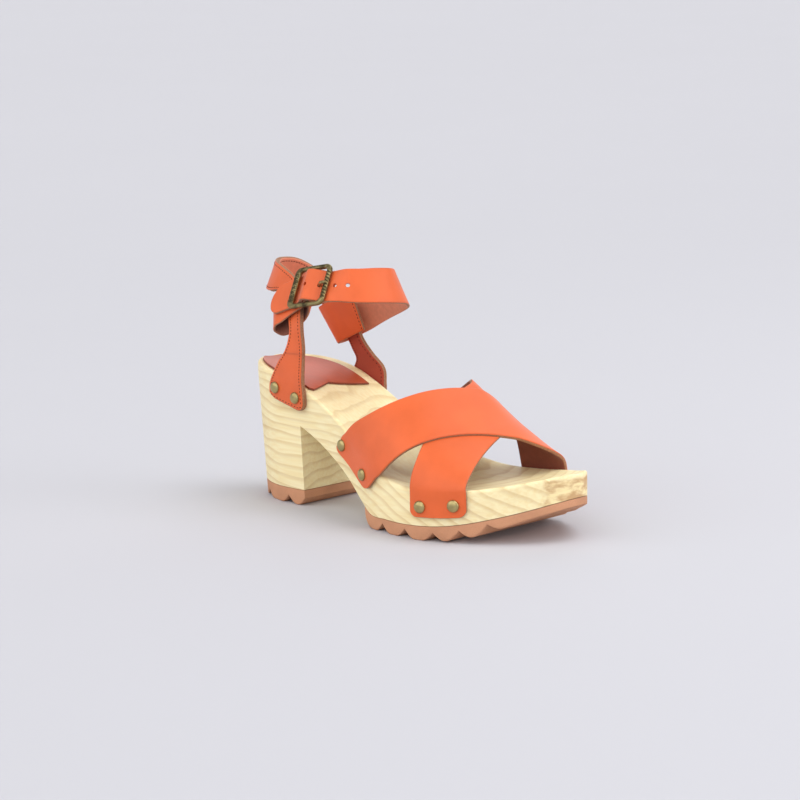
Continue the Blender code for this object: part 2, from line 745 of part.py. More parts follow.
def make_buckle_strap(parts, guides):
    """Closed loop of leather round the buckle's pin and the sling's outer neck."""
    width = LOOP_ROWS[0][3]
    turns = [(PIN_WRAP * math.cos(a), PIN_WRAP * math.sin(a)) for a in np.radians(NOSE_ANGLES)]
    nose = [(s, PIN_DEPTH + n, 0, width) for s, n in turns]
    rows = np.asarray([*LOOP_ROWS, *nose], float)
    middle = in_buckle(rows[:, 0], -rows[:, 2], rows[:, 1])
    slope = np.radians(LOOP_SLANT) * ease((SLANT_START - rows[:, 0]) / SLANT_RUN)
    forwards, upwards, _ = buckle_axes()
    half = 0.5 * rows[:, 3:4] * (np.cos(slope)[:, None] * upwards - np.sin(slope)[:, None] * forwards)
    ring = np.hstack([middle, half])
    ring = np.vstack([ring[-2:], ring, ring[:3]])
    knots = np.concatenate([[0], np.cumsum(np.linalg.norm(np.diff(ring[:, :3], axis=0), axis=1))])
    at = np.linspace(knots[2], knots[-3], LOOP_LENGTHS + 1)[:-1]
    both = smooth(knots, ring, at)
    share = np.linspace(-1, 1, LOOP_WIDTHS)
    points = both[:, None, :3] + both[:, None, 3:] * share[:, None]
    loop = shell("buckle_strap", points, WRAP_THICK, 0, "leather", parts, closed=True)
    start, end = SLOT_ALONG
    outline = ((start, -1), (end, -1), (end, 1), (start, 1))
    corners = [(s, t * SLOT_HALF_WIDTH, n) for n in SLOT_DEPTH for s, t in outline]
    box = in_buckle(*np.array(corners).T).reshape(2, 4, 3)
    slot = loft("prong_slot", box, "leather", guides)
    make_guide(slot)
    boolean(loop, slot, "DIFFERENCE")
    return loop


def rounded_rectangle(left, right, tall, radius):
    """Closed outline with round corners, in the buckle's plane."""
    points = []
    corners = ((right, tall, 0), (left, tall, 90), (left, -tall, 180), (right, -tall, 270))
    for s, t, start in corners:
        centre_s = s - math.copysign(radius, s)
        centre_t = t - math.copysign(radius, t)
        for angle in np.radians(np.linspace(start, start + 90, CORNER_STEPS)):
            points.append((centre_s + radius * math.cos(angle), centre_t + radius * math.sin(angle)))
    return np.array(points)


def make_buckle(parts, guides):
    """Centre-bar buckle: a flat frame with chamfered edges and a round pin across its middle."""
    half_long = BUCKLE_LONG / 2
    half_tall = BUCKLE_TALL / 2
    outer = rounded_rectangle(-half_long, half_long, half_tall, BUCKLE_CORNER)
    window = (BAR_LEFT - half_long, half_long - BAR_RIGHT, half_tall - BAR_SIDE)
    inner = rounded_rectangle(*window, BUCKLE_CORNER / 2)
    inset = BUCKLE_CHAMFER / np.linalg.norm(outer - inner, axis=1)[:, None]
    outer_lip = outer + (inner - outer) * inset
    inner_lip = inner + (outer - inner) * inset
    face = BUCKLE_THICK / 2
    shelf = face - BUCKLE_CHAMFER
    section = ((outer, -shelf), (outer, shelf), (outer_lip, face), (inner_lip, face),
               (inner, shelf), (inner, -shelf), (inner_lip, -face), (outer_lip, -face))
    rows = np.stack([in_buckle(edge[:, 0], edge[:, 1], np.full(len(edge), n)) for edge, n in section], 1)
    faces = grid_faces(len(outer), len(section), wrap_rows=True, wrap_columns=True)
    frame = new_object("buckle_frame", rows, faces, "brass", parts)
    upwards = buckle_axes()[1]
    pin_half = half_tall - BAR_SIDE * PIN_SINK
    pin_rings = rod_rings(in_buckle(0, 0, PIN_DEPTH), upwards, PIN_RADIUS, pin_half, ROD_STEPS)
    pin = rods("buckle_pin", [pin_rings], "brass", guides)
    boolean(frame, pin, "UNION")
    parts.objects.link(prong_wire("buckle_prong", PRONG_RADIUS))


def prong_wire(name, radius):
    """Round wire along the prong's path: from the pin, up through the strap and onto the right bar."""
    path = in_buckle(*np.array([(s, 0, n) for s, n in PRONG_ROWS]).T)
    points = smooth(path_share(path), path, np.linspace(0, 1, PRONG_STATIONS))
    curve = bpy.data.curves.new(name, "CURVE")
    curve.dimensions = "3D"
    curve.bevel_depth = radius * MM
    curve.bevel_resolution = PRONG_ROUND
    curve.use_fill_caps = True
    line = curve.splines.new("POLY")
    line.points.add(len(points) - 1)
    for point, place in zip(line.points, points):
        point.co = (*(place * MM), 1)
    curve.materials.append(bpy.data.materials["brass"])
    return bpy.data.objects.new(name, curve)


def solid_copy(wire, collection):
    """Mesh object of a wire, with its caps joined on, in place of the wire."""
    bpy.context.scene.collection.objects.link(wire)
    graph = bpy.context.evaluated_depsgraph_get()
    mesh = bpy.data.meshes.new_from_object(wire.evaluated_get(graph))
    shape = bmesh.new()
    shape.from_mesh(mesh)
    bmesh.ops.remove_doubles(shape, verts=shape.verts, dist=WELD)
    shape.to_mesh(mesh)
    shape.free()
    solid = bpy.data.objects.new(wire.name + "_solid", mesh)
    collection.objects.link(solid)
    bpy.data.objects.remove(wire)
    return solid


def make_heel_sock(parts):
    """Thin leather half insole on the heel seat, with an M-shaped front edge."""
    share = np.linspace(0, 1, SOCK_WIDTHS)
    table = np.asarray(SOCK_FRONT, float)
    front = np.interp(share, table[:, 0], table[:, 1])
    along = np.linspace(0, 1, SOCK_LENGTHS)[:, None]
    x = SOCK_BACK + (front - SOCK_BACK) * (1 - np.cos(math.pi / 2 * along))
    lateral_y = sole_side(x, "lateral") + SOCK_OUTER_INSET
    medial_y = sole_side(x, "medial") - SOCK_INNER_INSET
    y = lateral_y + (medial_y - lateral_y) * share
    z = footbed(x, y) + GAP
    points = np.stack([x, y, z], -1)
    return shell("heel_sock", points, SOCK_THICK, 1, "sock", parts)


def nail_frame(side, x, height, seat):
    """Place of a nail's seat on the strap over the sole's wall, and the wall's outward direction."""
    normal_x, normal_y = outward(x, side)
    wall_x, wall_y = wall(x, height, side)
    direction = np.array([float(normal_x), float(normal_y), 0])
    place = np.array([wall_x, float(wall_y), height]) + direction * (2 * GAP + seat)
    return place, direction


def make_nails(parts, guides, held):
    """Domed brass nails through the strap ends into the sole."""
    angles = np.linspace(math.pi / 2, 0, DOME_ROWS)
    dome = [(NAIL_HEAD * math.cos(a), NAIL_DOME * math.sin(a)) for a in angles]
    profile = [*dome, (NAIL_SHANK, 0), (NAIL_SHANK, -NAIL_LENGTH), (0, -NAIL_LENGTH)]
    mesh = bpy.data.meshes.new("nail")
    points = [(max(r, 0) * MM, 0, h * MM) for r, h in profile]
    points[0] = (0, 0, NAIL_DOME * MM)
    mesh.from_pydata(points, [(k, k + 1) for k in range(len(points) - 1)], [])
    mesh.materials.append(bpy.data.materials["brass"])
    holes = []
    for name, side, x, height, seat in NAILS:
        place, direction = nail_frame(side, x, height, seat)
        nail = bpy.data.objects.new("nail_" + name, mesh)
        parts.objects.link(nail)
        nail.location = place * MM
        nail.rotation_euler = (0, math.pi / 2, math.atan2(direction[1], direction[0]))
        screw = nail.modifiers.new("turned", "SCREW")
        screw.steps = NAIL_STEPS
        screw.render_steps = NAIL_STEPS
        screw.use_merge_vertices = True
        screw.merge_threshold = WELD
        middle = place - direction * NAIL_LENGTH / 2
        holes.append(rod_rings(middle, direction, NAIL_HOLE, NAIL_LENGTH / 2 + NAIL_CLEAR, NAIL_STEPS))
    cutter = rods("nail_holes", holes, "brass", guides)
    for part in held:
        boolean(part, cutter, "DIFFERENCE")


def stand_on_origin(parts, guides):
    """Move everything so that the origin is below the middle of the shoe, on the floor."""
    bpy.context.view_layer.update()
    graph = bpy.context.evaluated_depsgraph_get()
    low = np.full(3, np.inf)
    high = np.full(3, -np.inf)
    for part in parts.objects:
        shape = part.evaluated_get(graph)
        places = np.array([shape.matrix_world @ point.co for point in shape.to_mesh().vertices])
        low = np.minimum(low, places.min(axis=0))
        high = np.maximum(high, places.max(axis=0))
        shape.to_mesh_clear()
    base = bpy.data.objects.new("sandal_base", None)
    bpy.context.scene.collection.objects.link(base)
    base.location = (-(low[0] + high[0]) / 2, -(low[1] + high[1]) / 2, 0)
    for part in [*parts.objects, *guides.objects]:
        part.parent = base


def main():
    """Build the sandal."""
    for old in list(bpy.data.objects):
        bpy.data.objects.remove(old)
    parts = bpy.data.collections.new("sandal")
    guides = bpy.data.collections.new("cutters")
    bpy.context.scene.collection.children.link(parts)
    bpy.context.scene.collection.children.link(guides)
    for name, values in COLOURS.items():
        make_material(name, *values)
    sole = make_wood_sole(parts, guides)
    make_rubbers(parts)
    make_heel_sock(parts)
    upper = make_upper(parts, guides)
    sling = make_sling(parts)
    make_ankle_strap(parts, guides)
    make_buckle_strap(parts, guides)
    make_buckle(parts, guides)
    make_nails(parts, guides, (sole, upper, sling))
    stand_on_origin(parts, guides)


main()
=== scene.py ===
"""Visual model of a right-foot clog sandal, laid out as a Blender add-on and run as a script.

Tables are in millimetres: x from the back of the heel to the toe, y from the outer side of the foot to the
inner side, z up from the floor. Pieces are made in metres at the frame's own place.
"""

import math

import bmesh
import bpy
import numpy as np
from mathutils import Matrix


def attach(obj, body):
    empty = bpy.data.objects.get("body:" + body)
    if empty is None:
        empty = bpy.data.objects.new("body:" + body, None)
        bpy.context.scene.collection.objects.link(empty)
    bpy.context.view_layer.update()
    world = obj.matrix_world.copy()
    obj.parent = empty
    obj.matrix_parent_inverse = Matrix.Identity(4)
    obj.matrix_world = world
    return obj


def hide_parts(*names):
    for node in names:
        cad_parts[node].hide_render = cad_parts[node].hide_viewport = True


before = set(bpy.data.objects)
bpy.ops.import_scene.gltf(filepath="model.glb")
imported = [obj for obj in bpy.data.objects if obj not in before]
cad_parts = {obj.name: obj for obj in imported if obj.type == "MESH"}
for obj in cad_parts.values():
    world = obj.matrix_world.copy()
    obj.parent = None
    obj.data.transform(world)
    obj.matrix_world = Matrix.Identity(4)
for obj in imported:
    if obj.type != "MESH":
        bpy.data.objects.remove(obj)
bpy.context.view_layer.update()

bl_info = {
    "name": "Clog sandal",
    "version": (1, 0, 0),
    "blender": (4, 5, 0),
    "location": "View3D > Sidebar > Sandal",
    "description": "Makes the visible pieces of a wooden-soled sandal over its solid model",
    "category": "Object",
}

MM = 0.001
BASE = np.array([-120.0, 1.79, 0.0])
GAP = 0.3
SIDES = ("lateral", "medial")

# Sole
LENGTH = 240.0
SOLE_OUTLINE = (  # x, lateral, medial
    (0, 0, 0),
    (10, -17.5, 22.5),
    (32, -28, 30.5),
    (70, -30.5, 28),
    (105, -35.5, 27),
    (140, -45.5, 36),
    (170, -47, 42),
    (200, -36.5, 42),
    (225, -18.5, 29),
    (240, 9, 9),
)
SOLE_RIM = (  # x, height
    (0, 82.5),
    (25, 80),
    (55, 73.5),
    (80, 63),
    (105, 50),
    (130, 36),
    (155, 29),
    (185, 28.5),
    (215, 32.5),
    (240, 38.5),
)
SOLE_UNDERSIDE = (  # x, height
    (57.5, 48.6),
    (64, 45.8),
    (71, 42.6),
    (87, 34.2),
    (104.4, 24.5),
    (118.6, 14.5),
    (128, 9),
    (145, 8),
    (165, 8),
    (190, 10),
    (215, 16),
    (250, 28.5),
)
RIM_ROUND = 2.0
ROUND_SHARE = 0.2
FOOTBED_DISH = 2.5
DISH_FULL_WIDTH = 50.0
HEEL_FRONT = 57.5
HEEL_TAPER = 4.0
HEEL_TAPER_HEIGHT = 75.0
BACK_SLANT = 2.0
TAPER_FADE = (75.0, 110.0)
TAPER_LIMIT = 0.9
OUTLINE_STEP = 0.5
HEEL_STATIONS = 70
FORE_STATIONS = 150
RIM_POINTS = 8
BED_COLUMNS = 40
WALL_ROWS = 26
HEEL_ROWS = 24
BASE_COLUMNS = 30

# Rubber
HEEL_RUBBER_TOP = 9.5
RUNNER_BACK = 123.0
RUNNER_BACK_ROUND = 9.0
RUNNER_BACK_LIP = 1.5
TREAD_BASE = (  # x, height of the lug lows
    (120, 0),
    (180, 0),
    (190, 1.5),
    (205, 5.5),
    (220, 12),
    (240, 20.3),
)
LUG_PITCH = 19.0
LUG_LAND = 5.0
LUG_DEPTH = 4.8
FOREFOOT_NOTCH = 141.5
TOE_NOTCH = FOREFOOT_NOTCH + 2 * LUG_PITCH
TOE_PITCH = LUG_PITCH * 3 / 4
FOREFOOT_TREAD_END = 214.0
HEEL_NOTCH = 42.4
HEEL_PITCH = LUG_PITCH * 4 / 3
TIP_FLAT = 0.02
TIP_RUN = 2.0
TIP_END = 2.1
RUBBER_STATION = 0.5
TIP_STATIONS = 12
RUBBER_ROUND_LIMITS = (0.4, 0.3)  # share of the height and of the half width
RUBBER_EDGE_POINTS = 5
RUBBER_WALL_ROWS = 8
TREAD_COLUMNS = 14

# Crossed straps
STRAP_THICK = 2.2
LAST_CREST = (  # x, crest height over the rim, crest y
    (90, 55.5, 33),
    (120, 52, 28),
    (150, 46, 22),
    (180, 27.5, 16),
    (210, 8, 10),
    (235, 3, 6),
)
LAST_SIDE_POWER = 0.95
LAST_TOP_POWER = 1.1
STRAP_EDGES = (  # share of the girth, over strap back, front, under strap back, front
    (-0.30, 92.3, 126, 167, 200),
    (-0.12, 99.2, 134.3, 167, 199.7),
    (0.00, 104.2, 141, 167, 199.5),
    (0.06, 109.8, 147, 166.6, 198.9),
    (0.17, 123.4, 159, 165, 197),
    (0.33, 141, 175, 158, 191.2),
    (0.50, 154.7, 190, 148, 182.2),
    (0.67, 161.2, 198, 137, 170.6),
    (0.83, 164.5, 200.5, 121.7, 155.9),
    (1.00, 167.5, 201, 106.5, 140.5),
    (1.30, 169, 203, 94, 130),
)
WALL_SPAN = 60.0
STRAP_DROP = {"over": (15.4, 15.0), "under": (14.5, 17.0)}
STRAP_COLUMNS = {"over": (1, 2), "under": (3, 4)}
STRAP_CORNER = 4.5
STRAP_WIDTH = 34.0
END_TRIM = 0.12
BEND_SPREAD = 0.016
CROSS_LIFT = 1.95
LIFT_START = 0.03
LIFT_RAMP = 0.17

# Heel sling
SLING_THICK = 3.2
SLING_ROWS = (  # front or top edge x, y, z, then rear or bottom edge x, y, z
    (65, -32.6, 57, 35, -32.6, 65),
    (65, -32.6, 72, 36, -32.6, 73),
    (65.5, -32.2, 85, 44, -32.2, 85),
    (67.3, -33.2, 96, 53, -33.2, 95),
    (66.3, -33.2, 107, 56.6, -33.3, 105),
    (62.8, -29.8, 114, 53.6, -30.9, 110),
    (58, -25, 121, 48.7, -26.2, 117),
    (52.5, -20.9, 128.5, 42, -23, 122.5),
    (46, -18.2, 134, 34.5, -20.7, 126),
    (34, -16, 139.5, 23.5, -17.8, 125),
    (21.5, -9.8, 142, 14, -11, 125),
    (14.5, 0, 143, 9.5, 0.5, 124),
    (17.5, 9, 142, 12.5, 12.5, 122.5),
    (23.5, 16.5, 137, 21.5, 19.5, 117),
    (33, 22, 127, 31, 24.6, 109),
    (42, 26, 115.5, 37.5, 27.6, 100.5),
    (48.5, 28.4, 104, 41, 29.4, 92.5),
    (52, 29.6, 94, 44, 30.4, 86),
    (60, 30.2, 85, 45.5, 31, 81),
    (68.5, 30.8, 77.5, 43, 31.8, 76),
    (71, 31, 68, 39, 33, 70),
    (70.5, 31, 56, 38.5, 33.2, 62),
)
WALL_HUG = 12.0
TAB_CORNER = 6.0
TAB_WIDTH = 30.0
SLING_LENGTH = 270.0
TRIM_FADE = 0.08

# Ankle strap
ANKLE_THICK = 2.0
TIP_ROUND = 9.0
TIP_FADE_ROW = 3
ANKLE_ROWS = (  # x, y, z, width, back, across
    (92, -26, 133.6, 19.8, 1.5, 8.5),
    (99, -18.5, 133.2, 20.5, 4.5, 7),
    (103.6, -8, 132.7, 20.8, 6.6, 3),
    (104.6, 2, 131.8, 21, 6.4, -0.5),
    (101.6, 11.5, 130.2, 21.7, 7, -3.5),
    (95, 19, 127.3, 23, 8, -5.5),
    (84, 25, 123.5, 23.5, 8.5, -6),
    (72, 29, 119.5, 24, 9, -6.2),
    (60, 32, 115, 24.5, 9.5, -6.2),
    (48, 32.2, 109.3, 25, 10, -6.2),
    (40, 31.3, 105.6, 25, 10.5, -6.2),
    (34, 30.1, 102.8, 25, 10.5, -6.2),
    (30.2, 28.2, 101, 25, 10.5, -6),
    (29, 25.6, 100.4, 25, 10.5, -5.8),
    (30.4, 23, 101, 25, 10.5, -5.8),
    (34.4, 22, 102.8, 25, 10.5, -6),
    (40, 22.9, 105.4, 25, 10.5, -6.2),
    (47, 23.5, 108.6, 25, 10, -6.2),
    (56.5, 24.5, 113, 25, 9.5, -6.2),
)
END_SLANT = 5.0
END_FADE = 0.93
STRAP_HOLES = (35.8, 55.8, 63.2)  # path distances from the tip
PRONG_HOLE = 44.5
HOLE_RADIUS = 1.25
HOLE_REACH = 8.0
HOLE_SIDES = 28
ANKLE_SEAM_AT = 0.9905
ANKLE_SEAM_SHARES = np.linspace(0.06, 0.94, 11)

# Buckle, in its own leaned frame: s forwards, t up the lean, n outwards
BUCKLE_AT = np.array([70.5, -30.3, 132.0])
BUCKLE_RISE = 9.6
BUCKLE_LEAN = 31.0
BUCKLE_LONG = 30.5
BUCKLE_TALL = 26.0
BUCKLE_CORNER = 4.5
BAR_LEFT = 4.6
BAR_RIGHT = 3.2
BAR_SIDE = 2.6
BUCKLE_THICK = 2.6
RELIEF_DEPTH = 0.25
RIDGE_PITCH = 1.9
RELIEF_MARGIN = 1.0
RELIEF_FADE = (0.3, 0.8, 0.5)  # across the bar, along it and up its side
BOSS_PITCH = (1.25, 1.15, 2.9)
BOSS_WAVE = (0.3, 2.1)
SECTION_POWERS = (0.55, 0.7)
CORNER_POINTS = 14
RUN_POINTS = 122
SECTION_POINTS = 28
WORKED_SHINE = 0.62
BUCKLE_SHARP = 50.0
ROD_SIDES = 18
PIN_RADIUS = 1.0
PIN_DEPTH = -1.5
PIN_INTO_BAR = 0.6
PIN_STATIONS = 24
WRAP_THICK = 1.5
WRAP_SLACK = 0.1
STRAP_SLACK = 0.35
PIN_WRAP = PIN_RADIUS + GAP + WRAP_THICK / 2 + WRAP_SLACK
UNDER_BAR = -(BUCKLE_THICK / 2 + GAP + ANKLE_THICK / 2 + STRAP_SLACK)
OVER_PIN = PIN_DEPTH + PIN_WRAP + WRAP_THICK / 2 + 2 * GAP + ANKLE_THICK / 2
STRAP_IN_BUCKLE = (  # s, n, drop of the middle below the buckle's own line
    (-34, UNDER_BAR, 5),
    (-28, UNDER_BAR, 3.8),
    (-20, UNDER_BAR, 2.2),
    (-15.6, UNDER_BAR, 1.3),
    (-10.3, UNDER_BAR, 0.6),
    (-4.9, 0.3, 0.2),
    (0, OVER_PIN, 0),
    (5.6, 0.3, 0),
    (11.8, UNDER_BAR, 0.2),
    (16, UNDER_BAR, 0.4),
)
STRAP_WIDTH_IN_BUCKLE = 19.5
LOOP_ROWS = (  # s, n, drop, width of the buckle strap's loop behind the pin
    (-1.6, 0.2, 0.1, 18.5),
    (-3, -1.3, 0.2, 18.5),
    (-5.5, -3.5, 0.5, 18.5),
    (-9, -5.2, 1.2, 18.5),
    (-13, -5.3, 2.5, 19),
    (-20, -5.2, 5.2, 20),
    (-26.5, -5.2, 8, 21.5),
    (-31.8, -5.7, 10.2, 21),
    (-34.4, -8.4, 12, 21),
    (-31.8, -11.6, 13.2, 21),
    (-26, -12.8, 12, 21.5),
    (-19, -12.9, 8.8, 20),
    (-12, -12.4, 5, 19),
    (-7.5, -10.2, 2.5, 18.5),
    (-4, -6.6, 0.9, 18.5),
)
LOOP_SLANT = 20.0
SLANT_START = -8.0
SLANT_RUN = 25.0
NOSE_ANGLES = (-90, -45, 0, 45, 90)
PRONG_RADIUS = 1.0
PRONG_TAPER = (0, 0.8, 0.97, 1)
PRONG_END = 0.35
PRONG_STATIONS = 60
PRONG_ROWS = (  # s, n
    (PIN_RADIUS + GAP, PIN_DEPTH),
    (4.5, -1.5),
    (7.2, -1),
    (9.4, 0.8),
    (11.8, 2.5),
    (13.6, 2.75),
    (16.6, 2.75),
)

# Heel sock
SOCK_THICK = 1.2
SOCK_BACK = 4.0
SOCK_OUTER_INSET = 4.0
SOCK_INNER_INSET = 8.5
SOCK_FRONT = (  # share of the width, x of the front edge
    (0.0, 63),
    (0.06, 64.5),
    (0.46, 57),
    (1.0, 67),
)

# Nails
NAIL_HEAD = 3.5
NAIL_ROUND = 0.9
NAIL_UNDERSIDE = (0.94 * NAIL_HEAD, -0.12)
NAIL_SHANK = 1.0
NAIL_REACH = -1.5
DOME_ROWS = 12
DOME_SIDES = 32
NAIL_POLISH = 0.7
NAILS = (  # name, side, x, height, seat over the wall
    ("over_strap_outer_back", "lateral", 102, 43.5, STRAP_THICK),
    ("over_strap_outer_front", "lateral", 125.5, 30.5, STRAP_THICK),
    ("over_strap_inner_back", "medial", 175, 19, STRAP_THICK),
    ("over_strap_inner_front", "medial", 194, 20, STRAP_THICK),
    ("under_strap_outer_back", "lateral", 173.5, 19.5, STRAP_THICK),
    ("under_strap_outer_front", "lateral", 192, 21.5, STRAP_THICK),
    ("under_strap_inner_back", "medial", 107, 38, STRAP_THICK),
    ("under_strap_inner_front", "medial", 130, 26, STRAP_THICK),
    ("sling_outer_back", "lateral", 41.5, 70.5, SLING_THICK),
    ("sling_outer_front", "lateral", 58.5, 66, SLING_THICK),
    ("sling_inner_back", "medial", 46, 68, SLING_THICK),
    ("sling_inner_front", "medial", 63, 62.5, SLING_THICK),
)

# Leather work
NEAR_STEP = 0.0015
NO_END = 9.0
RULER_POINTS = 200
SOCK_CORNER_SHARE = 0.6
# Painted shade: shares that darken the crossed straps' flesh side, where shade falls under the straps
STRAP_PAINTED_SHADE = (0.33, 0.23, 0.21)
# Painted shade: shares that darken the sling's inner side low down, at the tabs
TAB_PAINTED_SHADE = (0.545, 0.235, 0.18)
# Painted shade: share that darkens the buckle loop's inner side, inside the loop
LOOP_PAINTED_SHADE = 0.3
SLING_GROOVE = 0.4
SLING_CREASE = 33.0
# Painted shade on the sling's inner side fades out between these heights
PAINTED_SHADE_HEIGHTS = (0.100, 0.122)  # in metres, between the dark and the plain part of the sling's inner side
STITCH_SIDES = 6
STITCH_FLATTEN = 1.3

# Shading
SHARP_ANGLE = 38.0
ALL_SMOOTH = 180.0

# Light
PLAIN = (1.0, 1.0, 1.0)
LAMPS = (  # name, kind, place in metres, power, colour, angle or size
    ("top", "SUN", (0.4, 0.22, 1.0), 1.3, PLAIN, {"angle": math.radians(40)}),
    ("front", "SUN", (-0.1, -0.85, 0.42), 2.35, (1.0, 0.99, 0.97), {"angle": math.radians(100)}),
    ("fill", "SUN", (0.8, -0.4, 0.26), 0.7, PLAIN, {"angle": math.radians(80)}),
    ("back", "SUN", (-0.47, 0.76, 0.5), 0.6, PLAIN, {"angle": math.radians(50)}),
    ("window", "AREA", (1.35, 0.75, 0.55), 7.5, PLAIN, {"size": 1.0}),
)
LIT_POINT = (0, 0, 0.05)
AIR_COLOUR = (0.97, 0.97, 1.0, 1)
AIR_STRENGTH = 0.34

# Floor, in metres
FLOOR_FLAT = 1.5
FLOOR_FADE = 2.5
FLOOR_RADIUS = 30.0
FLOOR_SLOPE = 0.06
FLOOR_SWEEP = 6.0

# Camera, from the photo
CAMERA_AT = np.array([1007.697, -911.011, 276.498])
CAMERA_AZIMUTH = 44.511
CAMERA_ELEVATION = 9.354
CAMERA_ROLL = -0.946
CAMERA_LENS = 100.84
CAMERA_SENSOR = 36.0


def shade(red, green, blue):
    """Linear colour of a screen colour given from 0 to 255, by the usual screen curve."""
    level = np.array([red, green, blue], float) / 255
    linear = np.where(level <= 0.04045, level / 12.92, ((level + 0.055) / 1.055) ** 2.4)
    return tuple(float(v) for v in linear)


def tint(colour, *shares):
    """Colour with its parts multiplied by one share or by three, held at 1."""
    shares = shares if len(shares) == 3 else shares * 3
    return tuple(min(v * share, 1.0) for v, share in zip(colour, shares))


def smooth(knots, values, at):
    """Cubic pieces through the knots, with each slope taken from the neighbouring knots."""
    knots = np.asarray(knots, float)
    values = np.asarray(values, float)
    at = np.asarray(at, float)
    slopes = np.gradient(values, knots, axis=0)
    left = np.clip(np.searchsorted(knots, at, side="right") - 1, 0, len(knots) - 2)
    span = knots[left + 1] - knots[left]
    part = np.clip((at - knots[left]) / span, 0, 1)
    if values.ndim > 1:
        part = part[..., None]
        span = span[..., None]
    rise = part * part * (3 - 2 * part)
    start = part * (1 - part) ** 2
    end = part * part * (part - 1)
    return (values[left] * (1 - rise) + values[left + 1] * rise
            + span * (slopes[left] * start + slopes[left + 1] * end))


def column(table, index, at):
    """One column of a table as a smooth function of the table's first column."""
    rows = np.asarray(table, float)
    return smooth(rows[:, 0], rows[:, index], at)


def ease(value):
    """Soft step from 0 to 1: three squares less two cubes."""
    value = np.clip(value, 0, 1)
    return value * value * (3 - 2 * value)


def unit(vectors):
    """Vectors divided by their lengths."""
    return vectors / np.maximum(np.linalg.norm(vectors, axis=-1, keepdims=True), 1e-9)


def distances(points):
    """Distance along a path at each of its points: the running sum of its steps."""
    steps = np.linalg.norm(np.diff(points, axis=0), axis=1)
    return np.concatenate([[0], np.cumsum(steps)])


def path_share(points):
    """Distance along a path at each of its points, as a share of the whole."""
    total = distances(points)
    return total / total[-1]


def both(function, *at):
    """What a function of a side gives on the outer side and on the inner side."""
    return [function(*at, side) for side in SIDES]


def turn(x):
    """Share of the half turn that x is along the sole, so that both ends come out round."""
    return np.arccos(np.clip(1 - 2 * np.asarray(x, float) / LENGTH, -1, 1)) / math.pi


def sole_side(x, side):
    """Plan y of the sole's outline on one side, smooth in the half turn."""
    rows = np.asarray(SOLE_OUTLINE, float)
    return smooth(turn(rows[:, 0]), rows[:, 1 if side == "lateral" else 2], turn(x))


def outward(x, side):
    """Unit plan normal of the outline, from its slope over a short step."""
    slope = (sole_side(x + OUTLINE_STEP, side) - sole_side(x - OUTLINE_STEP, side)) / (2 * OUTLINE_STEP)
    sign = -1 if side == "lateral" else 1
    size = np.sqrt(1 + slope ** 2)
    return -sign * slope / size, sign / size


def wall(x, z, side):
    """Plan place of the sole's wall: the outline less the heel's taper, with the back slanted forwards."""
    centre = 0.5 * sum(both(sole_side, x))
    reach = sole_side(x, side) - centre
    low = np.clip(1 - z / HEEL_TAPER_HEIGHT, 0, 1)
    fade = 1 - ease((x - TAPER_FADE[0]) / (TAPER_FADE[1] - TAPER_FADE[0]))
    inset = np.minimum(HEEL_TAPER * fade * low, np.abs(reach) * TAPER_LIMIT)
    slant = BACK_SLANT * low * np.clip(1 - x / HEEL_FRONT, 0, 1)
    return x + slant, centre + reach - np.sign(reach) * inset


def wall_points(x, z, side):
    """Wall points as an array of x, y and z."""
    x, z = np.broadcast_arrays(np.asarray(x, float), np.asarray(z, float))
    wall_x, wall_y = wall(x, z, side)
    return np.stack([wall_x, wall_y, z], -1)


def rim(x):
    """Height of the sole's rim."""
    return column(SOLE_RIM, 1, x)


def end_round(x):
    """Fall of the rim at the very back and the very toe: a quarter circle."""
    near = np.clip(np.minimum(x, LENGTH - x), 0, RIM_ROUND)
    return RIM_ROUND - np.sqrt(RIM_ROUND ** 2 - (RIM_ROUND - near) ** 2)


def edge_round(x):
    """Radius of the rim's rounded edge, less at the narrow ends."""
    lateral_y, medial_y = both(sole_side, x)
    return np.minimum(RIM_ROUND, ROUND_SHARE * (medial_y - lateral_y))


def footbed(x, y):
    """Height of the footbed: the rim less a parabola across the width."""
    inset = edge_round(x)
    lateral_y, medial_y = both(sole_side, x)
    width = np.maximum(medial_y - lateral_y - 2 * inset, 1e-6)
    share = np.clip((y - lateral_y - inset) / width, 0, 1)
    depth = FOOTBED_DISH * np.clip(width / DISH_FULL_WIDTH, 0, 1)
    return rim(x) - end_round(x) - depth * (1 - (2 * share - 1) ** 2)


def stand_off(x, seat, side):
    """Sideways reach, with its sign, of a layer that stands off the wall by a seat along the plan normal."""
    return seat / outward(x, side)[1]


def corner_trim(share, width, radius):
    """How far a rounded end falls back at each share of its width: a quarter circle at each corner."""
    edge = np.minimum(share, 1 - share) * width
    inside = np.clip(1 - edge / radius, 0, 1)
    return radius * (1 - np.sqrt(1 - inside ** 2))


def last_point(girth, x, lift):
    """Outer face of the straps: down the outer wall, over the instep's crest and down the inner wall.

    Across the girth the height is the crest times a power of the sine, and the side reach is a power of the
    cosine.
    """
    seat = GAP + STRAP_THICK
    lateral_y, medial_y = (sole_side(x, side) + stand_off(x, seat, side) for side in SIDES)
    crest_rise = column(LAST_CREST, 1, x)
    crest_y = column(LAST_CREST, 2, x)
    angle = np.clip(girth, 0, 1) * math.pi
    cosine = np.cos(angle)
    ramp = lift * ease((np.minimum(girth, 1 - girth) - LIFT_START) / LIFT_RAMP)
    side_y = np.where(cosine >= 0, lateral_y - ramp, medial_y + ramp)
    y = crest_y + (side_y - crest_y) * np.abs(cosine) ** LAST_SIDE_POWER
    drop = WALL_SPAN * (np.clip(-girth, 0, None) + np.clip(girth - 1, 0, None))
    z = rim(x) + (crest_rise + ramp) * np.clip(np.sin(angle), 0, 1) ** LAST_TOP_POWER - drop
    return np.stack(np.broadcast_arrays(x, y, z), -1)


